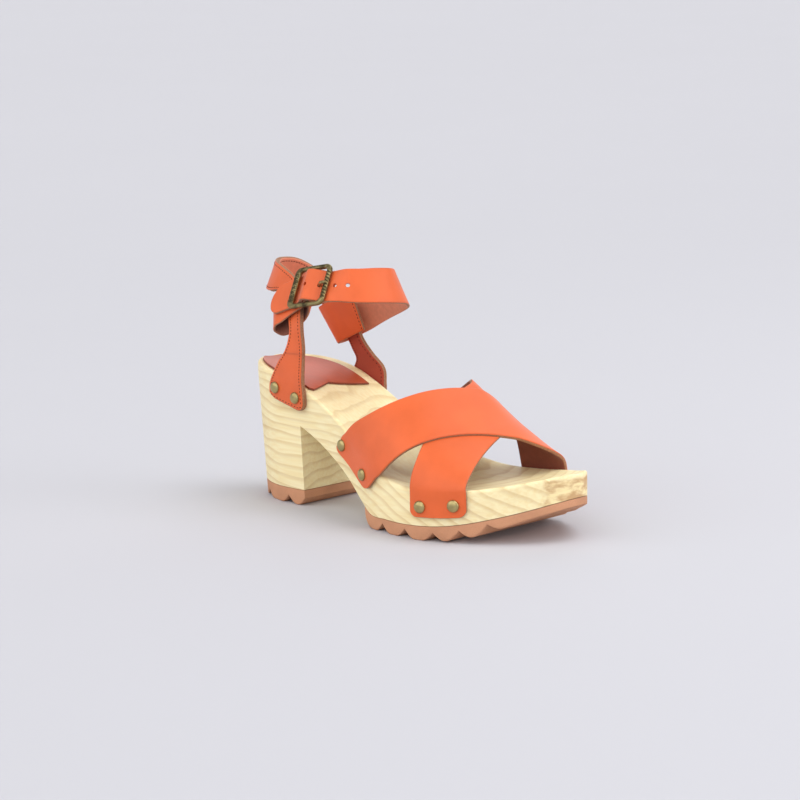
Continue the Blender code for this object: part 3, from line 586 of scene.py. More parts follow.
def strap_surface(name, lift):
    """Surface of one crossed strap: along it from outer to inner end, across it from back to front.

    Each point is a weighted mean of three near ones along the girth, which rounds the bend over the rim.
    """
    outer_drop, inner_drop = STRAP_DROP[name]
    back_column, front_column = STRAP_COLUMNS[name]

    def surface(along, share):
        trim = corner_trim(share, STRAP_WIDTH, STRAP_CORNER) / WALL_SPAN
        start = -outer_drop / WALL_SPAN
        end = 1 + inner_drop / WALL_SPAN
        fade = np.clip(1 - along / END_TRIM, 0, 1) - np.clip(1 - (1 - along) / END_TRIM, 0, 1)
        girth = start + (end - start) * along + trim * fade
        back = column(STRAP_EDGES, back_column, girth)
        front = column(STRAP_EDGES, front_column, girth)
        x = back + (front - back) * share
        near = [last_point(girth + step, x, lift) for step in (-BEND_SPREAD, 0, BEND_SPREAD)]
        return 0.25 * near[0] + 0.5 * near[1] + 0.25 * near[2]

    return surface


def sling_surface(along, share):
    """Middle face of the heel sling: ruled between its edge curves, and laid on the wall at the tabs."""
    rows = np.asarray(SLING_ROWS, float)
    knots = path_share(0.5 * (rows[:, :3] + rows[:, 3:]))
    trim = corner_trim(share, TAB_WIDTH, TAB_CORNER) / SLING_LENGTH
    fade = np.clip(1 - along / TRIM_FADE, 0, 1) - np.clip(1 - (1 - along) / TRIM_FADE, 0, 1)
    edges = smooth(knots, rows, along + trim * fade)
    front = edges[..., :3]
    points = front + (edges[..., 3:] - front) * np.asarray(share)[..., None]
    x, y, z = np.moveaxis(points, -1, 0)
    seat = GAP + SLING_THICK / 2
    outer, inner = (wall(x, z, side)[1] + stand_off(x, seat, side) for side in SIDES)
    hug = ease((rim(x) + WALL_HUG - z) / WALL_HUG)
    return np.stack([x, y + (np.where(y < 0, outer, inner) - y) * hug, z], -1)


def buckle_axes():
    """Unit vectors of the buckle's frame: forwards, up the lean and outwards."""
    rise = math.radians(BUCKLE_RISE)
    lean = math.radians(BUCKLE_LEAN)
    forwards = np.array([math.cos(rise), 0, math.sin(rise)])
    outwards = np.array([0, -math.cos(lean), math.sin(lean)])
    outwards = unit(outwards - forwards * (outwards @ forwards))
    return forwards, np.cross(outwards, forwards), outwards


def in_buckle(s, t, n):
    """Place of points given in the buckle's frame."""
    forwards, upwards, outwards = buckle_axes()
    s, t, n = (np.asarray(value, float)[..., None] for value in (s, t, n))
    return BUCKLE_AT + s * forwards + t * upwards + n * outwards


def ankle_path():
    """Knots, and at each the strap's middle and half width as vectors."""
    run = np.asarray(STRAP_IN_BUCKLE, float)
    middle = in_buckle(run[:, 0], -run[:, 2], run[:, 1])
    half = np.broadcast_to(buckle_axes()[1] * STRAP_WIDTH_IN_BUCKLE / 2, middle.shape)
    rows = np.asarray(ANKLE_ROWS, float)
    back = rows[:, 4]
    across = rows[:, 5]
    rise = np.sqrt(rows[:, 3] ** 2 - back ** 2 - across ** 2)
    middle = np.vstack([middle, rows[:, :3]])
    half = np.vstack([half, 0.5 * np.stack([-back, across, rise], 1)])
    return path_share(middle), np.hstack([middle, half])


def ankle_surface(along, share):
    """Middle face of the ankle strap: its middle curve plus or minus its half width.

    The tip falls back by a half circle, and the raw end is cut on a slant.
    """
    knots, rows = ankle_path()
    side = 2 * np.asarray(share, float) - 1
    length = distances(rows[:, :3])[-1]
    trim = TIP_ROUND * (1 - np.sqrt(np.clip(1 - side ** 2, 0, 1))) / length
    slant = END_SLANT / length * (1 - side) / 2
    place = along + trim * np.clip(1 - along / knots[TIP_FADE_ROW], 0, 1)
    both = smooth(knots, rows, place - slant * np.clip((along - END_FADE) / (1 - END_FADE), 0, 1))
    return both[..., :3] + both[..., 3:] * side[..., None]


def loop_surface(along, share):
    """Middle face of the buckle strap: a closed loop round the pin and the sling's outer neck."""
    turns = [(PIN_WRAP * math.cos(a), PIN_WRAP * math.sin(a)) for a in np.radians(NOSE_ANGLES)]
    nose = [(s, PIN_DEPTH + n, 0, LOOP_ROWS[0][3]) for s, n in turns]
    rows = np.asarray([*LOOP_ROWS, *nose], float)
    middle = in_buckle(rows[:, 0], -rows[:, 2], rows[:, 1])
    slope = np.radians(LOOP_SLANT) * ease((SLANT_START - rows[:, 0]) / SLANT_RUN)[:, None]
    forwards, upwards, _ = buckle_axes()
    half = 0.5 * rows[:, 3:4] * (np.cos(slope) * upwards - np.sin(slope) * forwards)
    ring = np.hstack([middle, half])
    ring = np.vstack([ring[-2:], ring, ring[:3]])
    knots = distances(ring[:, :3])
    around = np.asarray(along, float) % 1.0
    both = smooth(knots, ring, knots[2] + (knots[-3] - knots[2]) * around)
    return both[..., :3] + both[..., 3:] * (2 * np.asarray(share, float) - 1)[..., None]


def sock_surface(along, share):
    """Underside of the heel sock: the footbed between two insets, with an M-shaped front edge."""
    table = np.asarray(SOCK_FRONT, float)
    front = np.interp(share, table[:, 0], table[:, 1])
    x = SOCK_BACK + (front - SOCK_BACK) * (1 - np.cos(math.pi / 2 * np.clip(along, 0, 1)))
    lateral_y, medial_y = both(sole_side, x)
    lateral_y = lateral_y + SOCK_OUTER_INSET
    y = lateral_y + (medial_y - SOCK_INNER_INSET - lateral_y) * share
    return np.stack([x, y, footbed(x, y) + GAP], -1)


def quads(rows, columns, wrap_rows=False, wrap_columns=False, start=0):
    """Corner numbers of a grid's four-sided faces, with either direction closed if asked."""
    i, j = np.meshgrid(np.arange(rows if wrap_rows else rows - 1),
                       np.arange(columns if wrap_columns else columns - 1), indexing="ij")
    i_next = (i + 1) % rows
    j_next = (j + 1) % columns
    corners = ((i, j), (i_next, j), (i_next, j_next), (i, j_next))
    return start + np.stack([row * columns + place for row, place in corners], -1).reshape(-1, 4)


def rework(mesh, *jobs):
    """Run mesh jobs one after another, each given as a function of the working mesh."""
    shape = bmesh.new()
    shape.from_mesh(mesh)
    for job in jobs:
        job(shape)
    shape.to_mesh(mesh)
    shape.free()


def faced_out(shape):
    """Turn the faces outwards."""
    bmesh.ops.recalc_face_normals(shape, faces=shape.faces)


def cleaned(shape):
    """Join equal points and take out what has no area."""
    bmesh.ops.remove_doubles(shape, verts=shape.verts, dist=0.000002)
    bmesh.ops.dissolve_degenerate(shape, edges=shape.edges, dist=0.000001)


def in_triangles(shape):
    """Cut all faces into triangles."""
    bmesh.ops.triangulate(shape, faces=shape.faces, ngon_method="BEAUTY")


def new_piece(name, points, faces, marks=None, sharp=SHARP_ANGLE):
    """Piece from points in millimetres: equal points are joined, faces turned out and sharp edges kept."""
    mesh = bpy.data.meshes.new(name)
    mesh.from_pydata(((points.reshape(-1, 3) + BASE) * MM).tolist(), [], faces.tolist())
    for mark, values in (marks or {}).items():
        layer = mesh.attributes.new(mark, "FLOAT", "POINT")
        layer.data.foreach_set("value", np.ascontiguousarray(values, np.float32).ravel())
    rework(mesh, cleaned, faced_out)
    keep_edges(mesh, sharp)
    piece = bpy.data.objects.new(name, mesh)
    bpy.context.scene.collection.objects.link(piece)
    return piece


def keep_edges(mesh, sharp):
    """Smooth shading that stops at edges sharper than an angle in degrees."""
    mesh.polygons.foreach_set("use_smooth", np.ones(len(mesh.polygons), bool))
    mesh.set_sharp_from_angle(angle=math.radians(sharp))


def wear(piece, material, slot, *nodes):
    """Give a piece its finish, its body and the solids that it stands for."""
    piece.data.materials.clear()
    piece.data.materials.append(material)
    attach(piece, "root")
    if nodes:
        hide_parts(*nodes)


def joined(grids):
    """Points and faces of several open grids, one after another."""
    points = []
    faces = []
    count = 0
    for grid in grids:
        points.append(grid.reshape(-1, 3))
        faces.append(quads(grid.shape[0], grid.shape[1], start=count))
        count += grid.shape[0] * grid.shape[1]
    return np.vstack(points), np.vstack(faces)


def frame_at(surface, along, share, side, closed):
    """Points of a surface with the unit normal and the unit directions along and across it.

    Each direction is the difference of two near points; the normal is across times along, turned by side.
    """
    low_u, high_u = along - NEAR_STEP, along + NEAR_STEP
    if not closed:
        low_u, high_u = np.clip(low_u, 0, 1), np.clip(high_u, 0, 1)
    low_v, high_v = np.clip(share - NEAR_STEP, 0, 1), np.clip(share + NEAR_STEP, 0, 1)
    forward = unit(surface(high_u, share) - surface(low_u, share))
    across = unit(surface(along, high_v) - surface(along, low_v))
    return surface(along, share), unit(np.cross(across, forward)) * side, forward, across


def widths(surface, along):
    """Distance from one edge of a surface to the other at each place along it."""
    return np.linalg.norm(surface(along, np.ones(len(along))) - surface(along, np.zeros(len(along))), axis=1)


def band(name, surface, thick, corner, stations, columns, middle=0.0, side=-1, closed=False, groove=0.0):
    """Leather band: a rounded oblong section carried along a surface.

    The section runs across the outer face, round one cut edge, back across the inner face and round the other
    edge. Each point is a point of the surface moved along its normal by the section's height over the middle
    layer. At open ends the height shrinks to nothing, which closes the end with a cut face.
    """
    half = thick / 2
    arc = np.radians((0, 30, 60, 90))
    tuck = corner * (1 - np.sin(arc))
    level = half - corner + corner * np.cos(arc)
    face = np.linspace(0, 1, columns)
    rest = np.zeros(columns)
    core = np.array([0.35, 0.0, -0.35]) * (half - corner)
    dent = np.array([0.4, 1.0, 0.4]) * groove
    bared = (0, 0, 0.6, 1)
    edge_inset = np.concatenate([tuck[1:], [0], dent, tuck[::-1]])
    edge_height = np.concatenate([level[1:], [half - corner], core, -level[::-1]])
    edge_cut = np.concatenate([bared, np.ones(3), bared[::-1]])
    edge_flesh = np.repeat((0, 0.5, 1), (len(arc), 3, len(arc)))
    whole = np.ones(len(edge_cut))
    base = np.concatenate([face, whole, face[::-1], 0 * whole])
    inset = np.concatenate([rest + corner, edge_inset] * 2)
    height = np.concatenate([rest + half, edge_height, rest - half, -edge_height])
    cut = np.concatenate([rest, edge_cut] * 2)
    on_edge = np.concatenate([rest, whole] * 2)
    flesh = np.concatenate([rest, edge_flesh, rest + 1, edge_flesh[::-1]])
    along = np.linspace(0, 1, stations, endpoint=not closed)
    scale = np.ones(stations)
    length = 1.0
    if not closed:
        length = distances(surface(np.linspace(0, 1, RULER_POINTS), np.full(RULER_POINTS, 0.5)))[-1]
        first = np.array([0, 0, 0.3 * corner, corner]) / length
        fall = np.array([0, (half - corner) / half, 1 - 0.3 * corner / half, 1])
        inner = along[(along > 2 * first[-1]) & (along < 1 - 2 * first[-1])]
        along = np.concatenate([first, inner, 1 - first[::-1]])
        scale = np.concatenate([fall, np.ones(len(inner)), fall[::-1]])
    width = np.maximum(widths(surface, along), 4 * corner)[:, None]
    at_face = (corner + base * (width - 2 * corner)) / width
    at_edge = np.where(base > 0.5, 1 - inset / width, inset / width)
    share = np.where(on_edge > 0, at_edge, at_face)
    along = np.broadcast_to(along[:, None], share.shape)
    points, normal, _, _ = frame_at(surface, along, share, side, closed)
    points = points + normal * (middle + height * scale[:, None])[..., None]
    end_cut = (scale < 1)[:, None]
    from_side = np.minimum(share, 1 - share) * width
    from_end = np.minimum(along, 1 - along) * length + NO_END * closed
    marks = {
        "cut": np.where(end_cut, 1.0, np.broadcast_to(cut, share.shape)),
        "flesh": np.broadcast_to(flesh, share.shape),
        "inset": np.minimum(from_side, from_end),
        "along": along * length,
    }
    faces = quads(*share.shape, wrap_rows=closed, wrap_columns=True)
    return new_piece(name, points, faces, marks)


def tube(path, radius, sides):
    """Points of a round section carried along a path, with a radius for each of its points."""
    forward = unit(np.gradient(path, axis=0))
    helper = np.where(np.abs(forward[:, 2:]) < 0.9, np.array([0.0, 0, 1]), np.array([1.0, 0, 0]))
    first = unit(np.cross(forward, helper))
    second = np.cross(forward, first)
    angle = np.linspace(0, 2 * math.pi, sides, endpoint=False)[:, None]
    ring = np.cos(angle) * first[:, None] + np.sin(angle) * second[:, None]
    return path[:, None] + ring * np.asarray(radius)[:, None, None]


def stitches(surface, along, share, height, side, across, sizes):
    """Thread stitches: small ovals half sunk in a face at the given places, each along or across the band."""
    points, normal, forward, sideways = frame_at(surface, along, share, side, False)
    run = sideways if across else forward
    other = np.cross(normal, run)
    rows = np.linspace(0, math.pi, STITCH_SIDES)[:, None]
    angle = np.linspace(0, 2 * math.pi, STITCH_SIDES, endpoint=False)
    half_long = sizes.stitch_length / 2 / MM
    half_wide = sizes.stitch_width / 2 / MM
    thread = (points + normal * height)[:, None, None]
    for part, way in ((np.cos(rows) * np.ones(STITCH_SIDES) * half_long, run),
                      (np.sin(rows) * np.cos(angle) * half_wide, other),
                      (np.sin(rows) * np.sin(angle) * half_wide / STITCH_FLATTEN, normal)):
        thread = thread + part[None, ..., None] * way[:, None, None]
    one = quads(STITCH_SIDES, STITCH_SIDES, wrap_columns=True)
    firsts = STITCH_SIDES ** 2 * np.arange(len(points))
    return thread.reshape(-1, 3), (one[None] + firsts[:, None, None]).reshape(-1, 4)


def seam(name, surface, runs, thick, sizes):
    """Piece of stitches on both faces of a band, from runs of along, share and whether each lies across."""
    made = [stitches(surface, along, share, thick / 2, side, across, sizes)
            for side in (-1, 1) for along, share, across in runs]
    firsts = np.cumsum([0] + [len(points) for points, _ in made])
    faces = [corners + first for (_, corners), first in zip(made, firsts)]
    return new_piece(name, np.vstack([points for points, _ in made]), np.vstack(faces), sharp=ALL_SMOOTH)


def maths(operation, reflected=False):
    """Method for one of Python's operators: it adds a Math node, with the socket second where reflected."""

    def method(self, other):
        first, second = (other, self) if reflected else (self, other)
        return self.finish.node("Math", {"operation": operation}, {0: first, 1: second})

    return method


class Socket:
    """A node socket that takes part in sums, so that shader maths reads as an expression."""

    def __init__(self, finish, socket):
        self.finish = finish
        self.socket = socket

    __add__ = maths("ADD")
    __radd__ = maths("ADD", True)
    __sub__ = maths("SUBTRACT")
    __rsub__ = maths("SUBTRACT", True)
    __mul__ = maths("MULTIPLY")
    __rmul__ = maths("MULTIPLY", True)
    __truediv__ = maths("DIVIDE")
    __rtruediv__ = maths("DIVIDE", True)
    __pow__ = maths("POWER")
    __rpow__ = maths("POWER", True)

    def fraction(self):
        """What is left over the whole number below."""
        return self.finish.node("Math", {"operation": "FRACT"}, {0: self})

    def step(self, low, high):
        """Soft step from 0 at low to 1 at high."""
        ends = {"Value": self, "From Min": low, "From Max": high}
        return self.finish.node("MapRange", {"interpolation_type": "SMOOTHSTEP"}, ends)


class Finish:
    """A material, with one way to add nodes to it."""

    def __init__(self, name, **plain):
        self.material = bpy.data.materials.new(name)
        self.material.use_nodes = True
        self.tree = self.material.node_tree
        self.surface = self.tree.nodes["Principled BSDF"]
        for socket, value in plain.items():
            self.surface.inputs[socket.replace("_", " ").title().replace("Ior", "IOR")].default_value = value
        self.place = self.node("TexCoord", output="Object")

    def node(self, kind, settings=None, inputs=None, output=0):
        """Add a node, set its settings, feed its sockets with values or links and return one output."""
        made = self.tree.nodes.new("ShaderNode" + kind)
        for name, value in (settings or {}).items():
            setattr(made, name, value)
        for name, value in (inputs or {}).items():
            self.feed(made.inputs[name], value)
        return Socket(self, made.outputs[output])

    def feed(self, socket, value):
        """Link or set one socket."""
        if isinstance(value, Socket):
            self.tree.links.new(value.socket, socket)
        elif hasattr(value, "__len__") and len(value) == 3 and socket.type == "RGBA":
            socket.default_value = (*value, 1.0)
        else:
            socket.default_value = value

    def mark(self, name):
        """One of the piece's own marks."""
        return self.node("Attribute", {"attribute_name": name}, output="Fac")

    def axis(self, name):
        """Object coordinate along one axis."""
        return self.node("SeparateXYZ", {}, {"Vector": self.place}, name)

    def stretch(self, scale):
        """Object coordinates stretched by a scale for each axis."""
        return self.node("Mapping", {}, {"Vector": self.place, "Scale": scale})

    def noise(self, scale, detail=2.0, place=None):
        """Cloudy noise from 0 to 1."""
        values = {"Vector": place or self.place, "Scale": scale, "Detail": detail}
        return self.node("TexNoise", {}, values)

    def cells(self, scale):
        """Distance to the middle of the nearest cell."""
        return self.node("TexVoronoi", {}, {"Vector": self.place, "Scale": scale})

    def mix(self, factor, first, second):
        """Colour between two colours."""
        return self.node("Mix", {"data_type": "RGBA"}, {0: factor, 6: first, 7: second}, 2)

    def wear(self, colour=None, roughness=None, bump=None, depth=0.001, coat=None, metallic=None):
        """Feed the surface's varying sockets."""
        for name, value in (("Base Color", colour), ("Roughness", roughness), ("Coat Weight", coat),
                            ("Metallic", metallic)):
            if value is not None:
                self.feed(self.surface.inputs[name], value)
        if bump is not None:
            raised = self.node("Bump", {}, {"Height": bump, "Distance": depth})
            self.feed(self.surface.inputs["Normal"], raised)
        return self.material


def leather_finish(name, grain, flesh, colours, crease=None):
    """Smooth dyed leather: cloudy colour, fine pores, napped flesh side and fibrous cut edges.

    A creased piece also has painted shade: an inner side darker low down and a darker crease line.
    """
    finish = Finish(name, coat_roughness=0.35, specular_ior_level=0.42, sheen_weight=0.12)
    cut = finish.mark("cut").step(0.25, 0.6)
    inner = finish.mark("flesh").step(0.4, 0.6)
    inset = finish.mark("inset")
    clouds = finish.noise(45, 3)
    pores = finish.cells(1500)
    grit = finish.noise(2600, 3)
    fibres = finish.noise(2400, 4)
    nap = finish.noise(420, 5)
    deep = tint(grain, 0.93)
    pale = tuple(min(v * 1.04 + 0.004, 1) for v in grain)
    face = finish.mix(clouds.step(0.3, 0.7), deep, pale)
    near_edge = 1 - inset.step(0.2, 1.1)
    face = finish.mix(near_edge * 0.3, face, tint(grain, 0.62))
    back = finish.mix(nap.step(0.3, 0.7), tint(flesh, 0.93), tint(flesh, 1.05))
    # painted shade: the inner side goes darker below the given heights
    if crease is not None:
        back = finish.mix(finish.axis("Z").step(*PAINTED_SHADE_HEIGHTS), tint(flesh, *TAB_PAINTED_SHADE), back)
    raw = finish.mix(fibres.step(0.3, 0.7), colours.edge_dark, colours.edge)
    colour = finish.mix(cut, finish.mix(inner, face, back), raw)
    rough = 0.43 + clouds * 0.1 + inner * 0.3 + cut * 0.3
    bump = pores * 0.08 + grit * 0.05 + clouds * 0.1 + (nap * 0.07) * inner + (fibres * 0.15) * cut
    # painted shade in the crease: a darker line on the grain side, over a real groove in the bump
    if crease is not None:
        gap = (finish.mark("along") - crease) / 0.7
        line = 1 / (1 + gap * gap) * (1 - inner)
        colour = finish.mix(line * 0.35, colour, tint(grain, 0.45))
        bump = bump - line * 0.5
    return finish.wear(colour, rough, bump, 0.0006, coat=0.06 * (1 - inner))


def wood_finish(colours):
    """Pale wood: rings round a heart line that dips towards the toe, long fibres, and end grain at the toe.

    A ring's radius is the root of two squares, and its dark part is where the radius over the ring's width
    leaves a large fraction.
    """
    finish = Finish("pale_wood", coat_roughness=0.3, specular_ior_level=0.4)
    x, y, z = (finish.axis(name) for name in "XYZ")
    warp = finish.noise(1.0, 2, finish.stretch((11, 30, 34)))
    sag = x.step(-0.01, 0.16)
    level = z + sag * 0.07 + (warp - 0.5) * 0.016
    depth = y * 0.25 - 0.03
    ring = ((level + 0.045) ** 2.0 + depth * depth) ** 0.5
    turns = (ring / 0.0056).fraction()
    late = turns.step(0.45, 0.86) * (1 - turns.step(0.88, 1.0))
    streak = finish.noise(1.0, 4, finish.stretch((26, 620, 620)))
    stain = finish.noise(1.0, 3, finish.stretch((18, 42, 60)))
    base = finish.mix(streak.step(0.3, 0.75), colours.wood, colours.wood_warm)
    base = finish.mix(stain.step(0.55, 0.85) * 0.35, base, colours.wood_line)
    base = finish.mix(late * (0.08 + stain * 0.5), base, colours.wood_line)
    ragged = finish.noise(150, 3) * 0.012 + x
    end = ragged.step(0.1165, 0.1190) * (1 - z.step(0.0345, 0.0365))
    knots = finish.noise(1.0, 5, finish.stretch((90, 110, 260)))
    burl = finish.mix(knots.step(0.36, 0.64), colours.wood_end, colours.wood_warm)
    colour = finish.mix(end * 0.85, base, burl)
    rough = 0.5 + late * 0.08 + streak * 0.08
    bump = streak * 0.25 + late * 0.2
    return finish.wear(colour, rough, bump, 0.0003, coat=0.05 + 0.05 * streak)


def rubber_finish(colours):
    """Matte rubber: a fine speckle with a faint cloudy tone."""
    finish = Finish("tan_rubber", specular_ior_level=0.3)
    speckle = finish.noise(1400, 3)
    clouds = finish.noise(70, 3)
    deep = tint(colours.rubber, 0.86)
    colour = finish.mix(clouds.step(0.3, 0.7), deep, colours.rubber)
    colour = finish.mix(speckle.step(0.6, 0.8) * 0.25, colour, tint(colours.rubber, 0.7))
    return finish.wear(colour, 0.66 + speckle * 0.16, speckle, 0.00025)


def sock_finish(colours):
    """Thin polished sock leather with soft scuffs along the foot."""
    finish = Finish("sock_leather", coat_roughness=0.3, specular_ior_level=0.5)
    cut = finish.mark("cut").step(0.25, 0.6)
    clouds = finish.noise(38, 4)
    scuffs = finish.noise(1.0, 4, finish.stretch((60, 420, 60)))
    pores = finish.cells(1300)
    deep = tint(colours.sock, 0.8)
    face = finish.mix(clouds.step(0.3, 0.72), deep, colours.sock)
    face = finish.mix(scuffs.step(0.6, 0.8) * 0.3, face, tint(colours.sock, 1.35))
    colour = finish.mix(cut, face, tint(colours.sock, 0.4))
    rough = 0.34 + clouds * 0.14 + scuffs * 0.1
    return finish.wear(colour, rough, pores * 0.05 + clouds * 0.4, 0.0006, coat=0.1 + 0.1 * clouds)


def brass_finish(name, colours, worked=False, polish=0.0):
    """Antique brass: dull green-brown tarnish over rubbed metal, and more of it low in the worked bars."""
    finish = Finish(name)
    tarnish = finish.noise(260, 5)
    fine = finish.noise(1500, 3)
    dull = tarnish.step(0.3, 0.75) * (1 - polish)
    bump = fine * 0.05 + tarnish * 0.08
    if worked:
        low = finish.mark("low").step(0.3, 0.8)
        dull = (dull + low * 0.9).step(0.1, 1.0)
    shine = WORKED_SHINE if worked else 1.0
    colour = finish.mix(dull, tint(colours.brass, shine), tint(colours.brass_dark, shine))
    return finish.wear(colour, 0.3 + dull * 0.25, bump, 0.0004, metallic=1.0 - dull * 0.25)


def thread_finish(colours):
    """Dark waxed thread."""
    finish = Finish("dark_thread", specular_ior_level=0.3)
    twist = finish.noise(2200, 2)
    deep = tint(colours.thread, 0.6)
    return finish.wear(finish.mix(twist, deep, colours.thread), 0.6 + twist * 0.2, twist, 0.0002)


def floor_finish(colours):
    """Plain pale studio paper."""
    finish = Finish("studio_paper", specular_ior_level=0.2)
    tone = finish.noise(3, 2)
    return finish.wear(finish.mix(tone, tint(colours.floor, 0.985), colours.floor), 0.85)


def colour_setting(label, words, red, green, blue):
    """Colour property with its default given in screen values."""
    return bpy.props.FloatVectorProperty(name=label, description=words, subtype="COLOR", size=3, min=0, max=1,
                                         default=shade(red, green, blue))


def length_setting(label, words, millimetres):
    """Length property with its default given in millimetres."""
    return bpy.props.FloatProperty(name=label, description=words, unit="LENGTH", min=0,
                                   default=millimetres * MM)


class SandalSizes(bpy.types.PropertyGroup):
    """Sizes of the fine work."""

    edge_round: length_setting("Edge rounding", "Radius of the leather's cut edges", 0.6)
    rubber_round: length_setting("Rubber rounding", "Radius of the rubber's lower edge", 0.9)
    stitch_pitch: length_setting("Stitch pitch", "Distance from one stitch to the next", 2.3)
    stitch_length: length_setting("Stitch length", "Length of one stitch", 1.3)
    stitch_width: length_setting("Stitch width", "Width of the thread", 0.55)
    seam_inset: length_setting("Seam inset", "Distance of a seam from the leather's edge", 1.9)
    nail_dome: length_setting("Nail dome", "Height of a nail's head", 2.0)
    prong_tip: length_setting("Prong tip", "Radius of the prong's tip", 0.75)


class SandalColours(bpy.types.PropertyGroup):
    """Colours of the finishes."""

    leather: colour_setting("Leather", "Dyed grain side of the straps", 228, 99, 40)
    flesh: colour_setting("Flesh side", "Inner side of the straps", 216, 138, 108)
    lining: colour_setting("Lining", "Inner layer of the sling", 222, 132, 102)
    edge: colour_setting("Cut edge", "Raw cut edge", 178, 128, 92)
    edge_dark: colour_setting("Cut edge, dark", "Dark fibres of the cut edge", 134, 86, 60)
    wood: colour_setting("Wood", "Pale wood", 254, 240, 194)
    wood_warm: colour_setting("Wood, warm", "Warmer fibres of the wood", 249, 229, 174)
    wood_line: colour_setting("Wood line", "Late wood of the rings", 203, 163, 98)
    wood_end: colour_setting("End grain", "End grain at the toe", 194, 147, 97)
    rubber: colour_setting("Rubber", "Tan rubber", 210, 152, 116)
    sock: colour_setting("Sock", "Heel sock", 196, 88, 53)
    brass: colour_setting("Brass", "Rubbed brass", 186, 170, 118)
    brass_dark: colour_setting("Brass, dark", "Tarnish", 92, 82, 52)
    thread: colour_setting("Thread", "Waxed thread", 96, 38, 22)
    floor: colour_setting("Floor", "Studio paper", 202, 202, 208)


class SANDAL_OT_carve_sole(bpy.types.Operator):
    """Carve the wooden sole with its rounded rim, dished footbed, block heel and arch"""

    bl_idname = "sandal.carve_sole"
    bl_label = "Carve the sole"

    def execute(self, context):
        """Six kinds of grid share their border points.

        They are the footbed, walls, heel walls, arch, heel base and heel front. The rim's edge is a quarter
        circle that also runs out to the tapered wall.
        """
        heel = HEEL_FRONT * (1 - np.cos(np.linspace(0, math.pi / 2, HEEL_STATIONS)))
        quarter = np.linspace(0, math.pi / 2, FORE_STATIONS)
        fore = HEEL_FRONT + (LENGTH - HEEL_FRONT) * np.sin(quarter)
        x = np.concatenate([heel, fore[1:]])
        arch_x = x[len(heel) - 1:]
        radius = edge_round(x)[:, None]
        top = (rim(x) - end_round(x))[:, None]
        arc = np.linspace(0, math.pi / 2, RIM_POINTS)
        inset = radius * (1 - np.cos(arc))
        edge_z = top - radius * (1 - np.sin(arc))
        lateral_y, medial_y = (y[:, None] for y in both(sole_side, x))
        across = np.linspace(0, 1, BED_COLUMNS)[None, 1:-1]
        bed_y = lateral_y + radius + (medial_y - lateral_y - 2 * radius) * across
        fall = 1 - arc / arc[-1]
        (near_x, near_y), (far_x, far_y) = both(wall, x[:, None], top - radius)
        near_rim = lateral_y + inset + (near_y - lateral_y) * fall
        far_rim = medial_y - inset + (far_y - medial_y) * fall
        bed_x = x[:, None] + 0 * bed_y
        rim_x = [x[:, None] + (edge_x - x[:, None]) * fall for edge_x in (near_x, far_x)]
        grids = [np.stack([np.hstack([rim_x[0], bed_x, rim_x[1][:, ::-1]]),
                           np.hstack([near_rim, bed_y, far_rim[:, ::-1]]),
                           np.hstack([edge_z, footbed(bed_x, bed_y), edge_z[:, ::-1]])], -1)]
        arch_low = column(SOLE_UNDERSIDE, 1, arch_x)
        low = np.concatenate([np.full(len(heel) - 1, arch_low[0]), arch_low])[:, None]
        rise = np.linspace(0, 1, WALL_ROWS)[None]
        heel_cut = HEEL_RUBBER_TOP + GAP
        heel_z = np.linspace(heel_cut, arch_low[0], HEEL_ROWS)
        share = np.linspace(0, 1, BASE_COLUMNS)[None, :, None]
        for side in SIDES:
            grids.append(wall_points(x[:, None], low + (top - radius - low) * rise, side))
            grids.append(wall_points(heel[:, None], heel_z[None], side))
        for across_x, across_z in ((arch_x, arch_low), (heel, np.full(len(heel), heel_cut)),
                                   (np.full(len(heel_z), HEEL_FRONT), heel_z)):
            first, last = both(wall_points, across_x, across_z)
            grids.append(first[:, None] + (last - first)[:, None] * share)
        piece = new_piece("carved_sole", *joined(grids))
        wear(piece, wood_finish(context.scene.sandal_colours), "wood", "wood_sole")
        return {"FINISHED"}


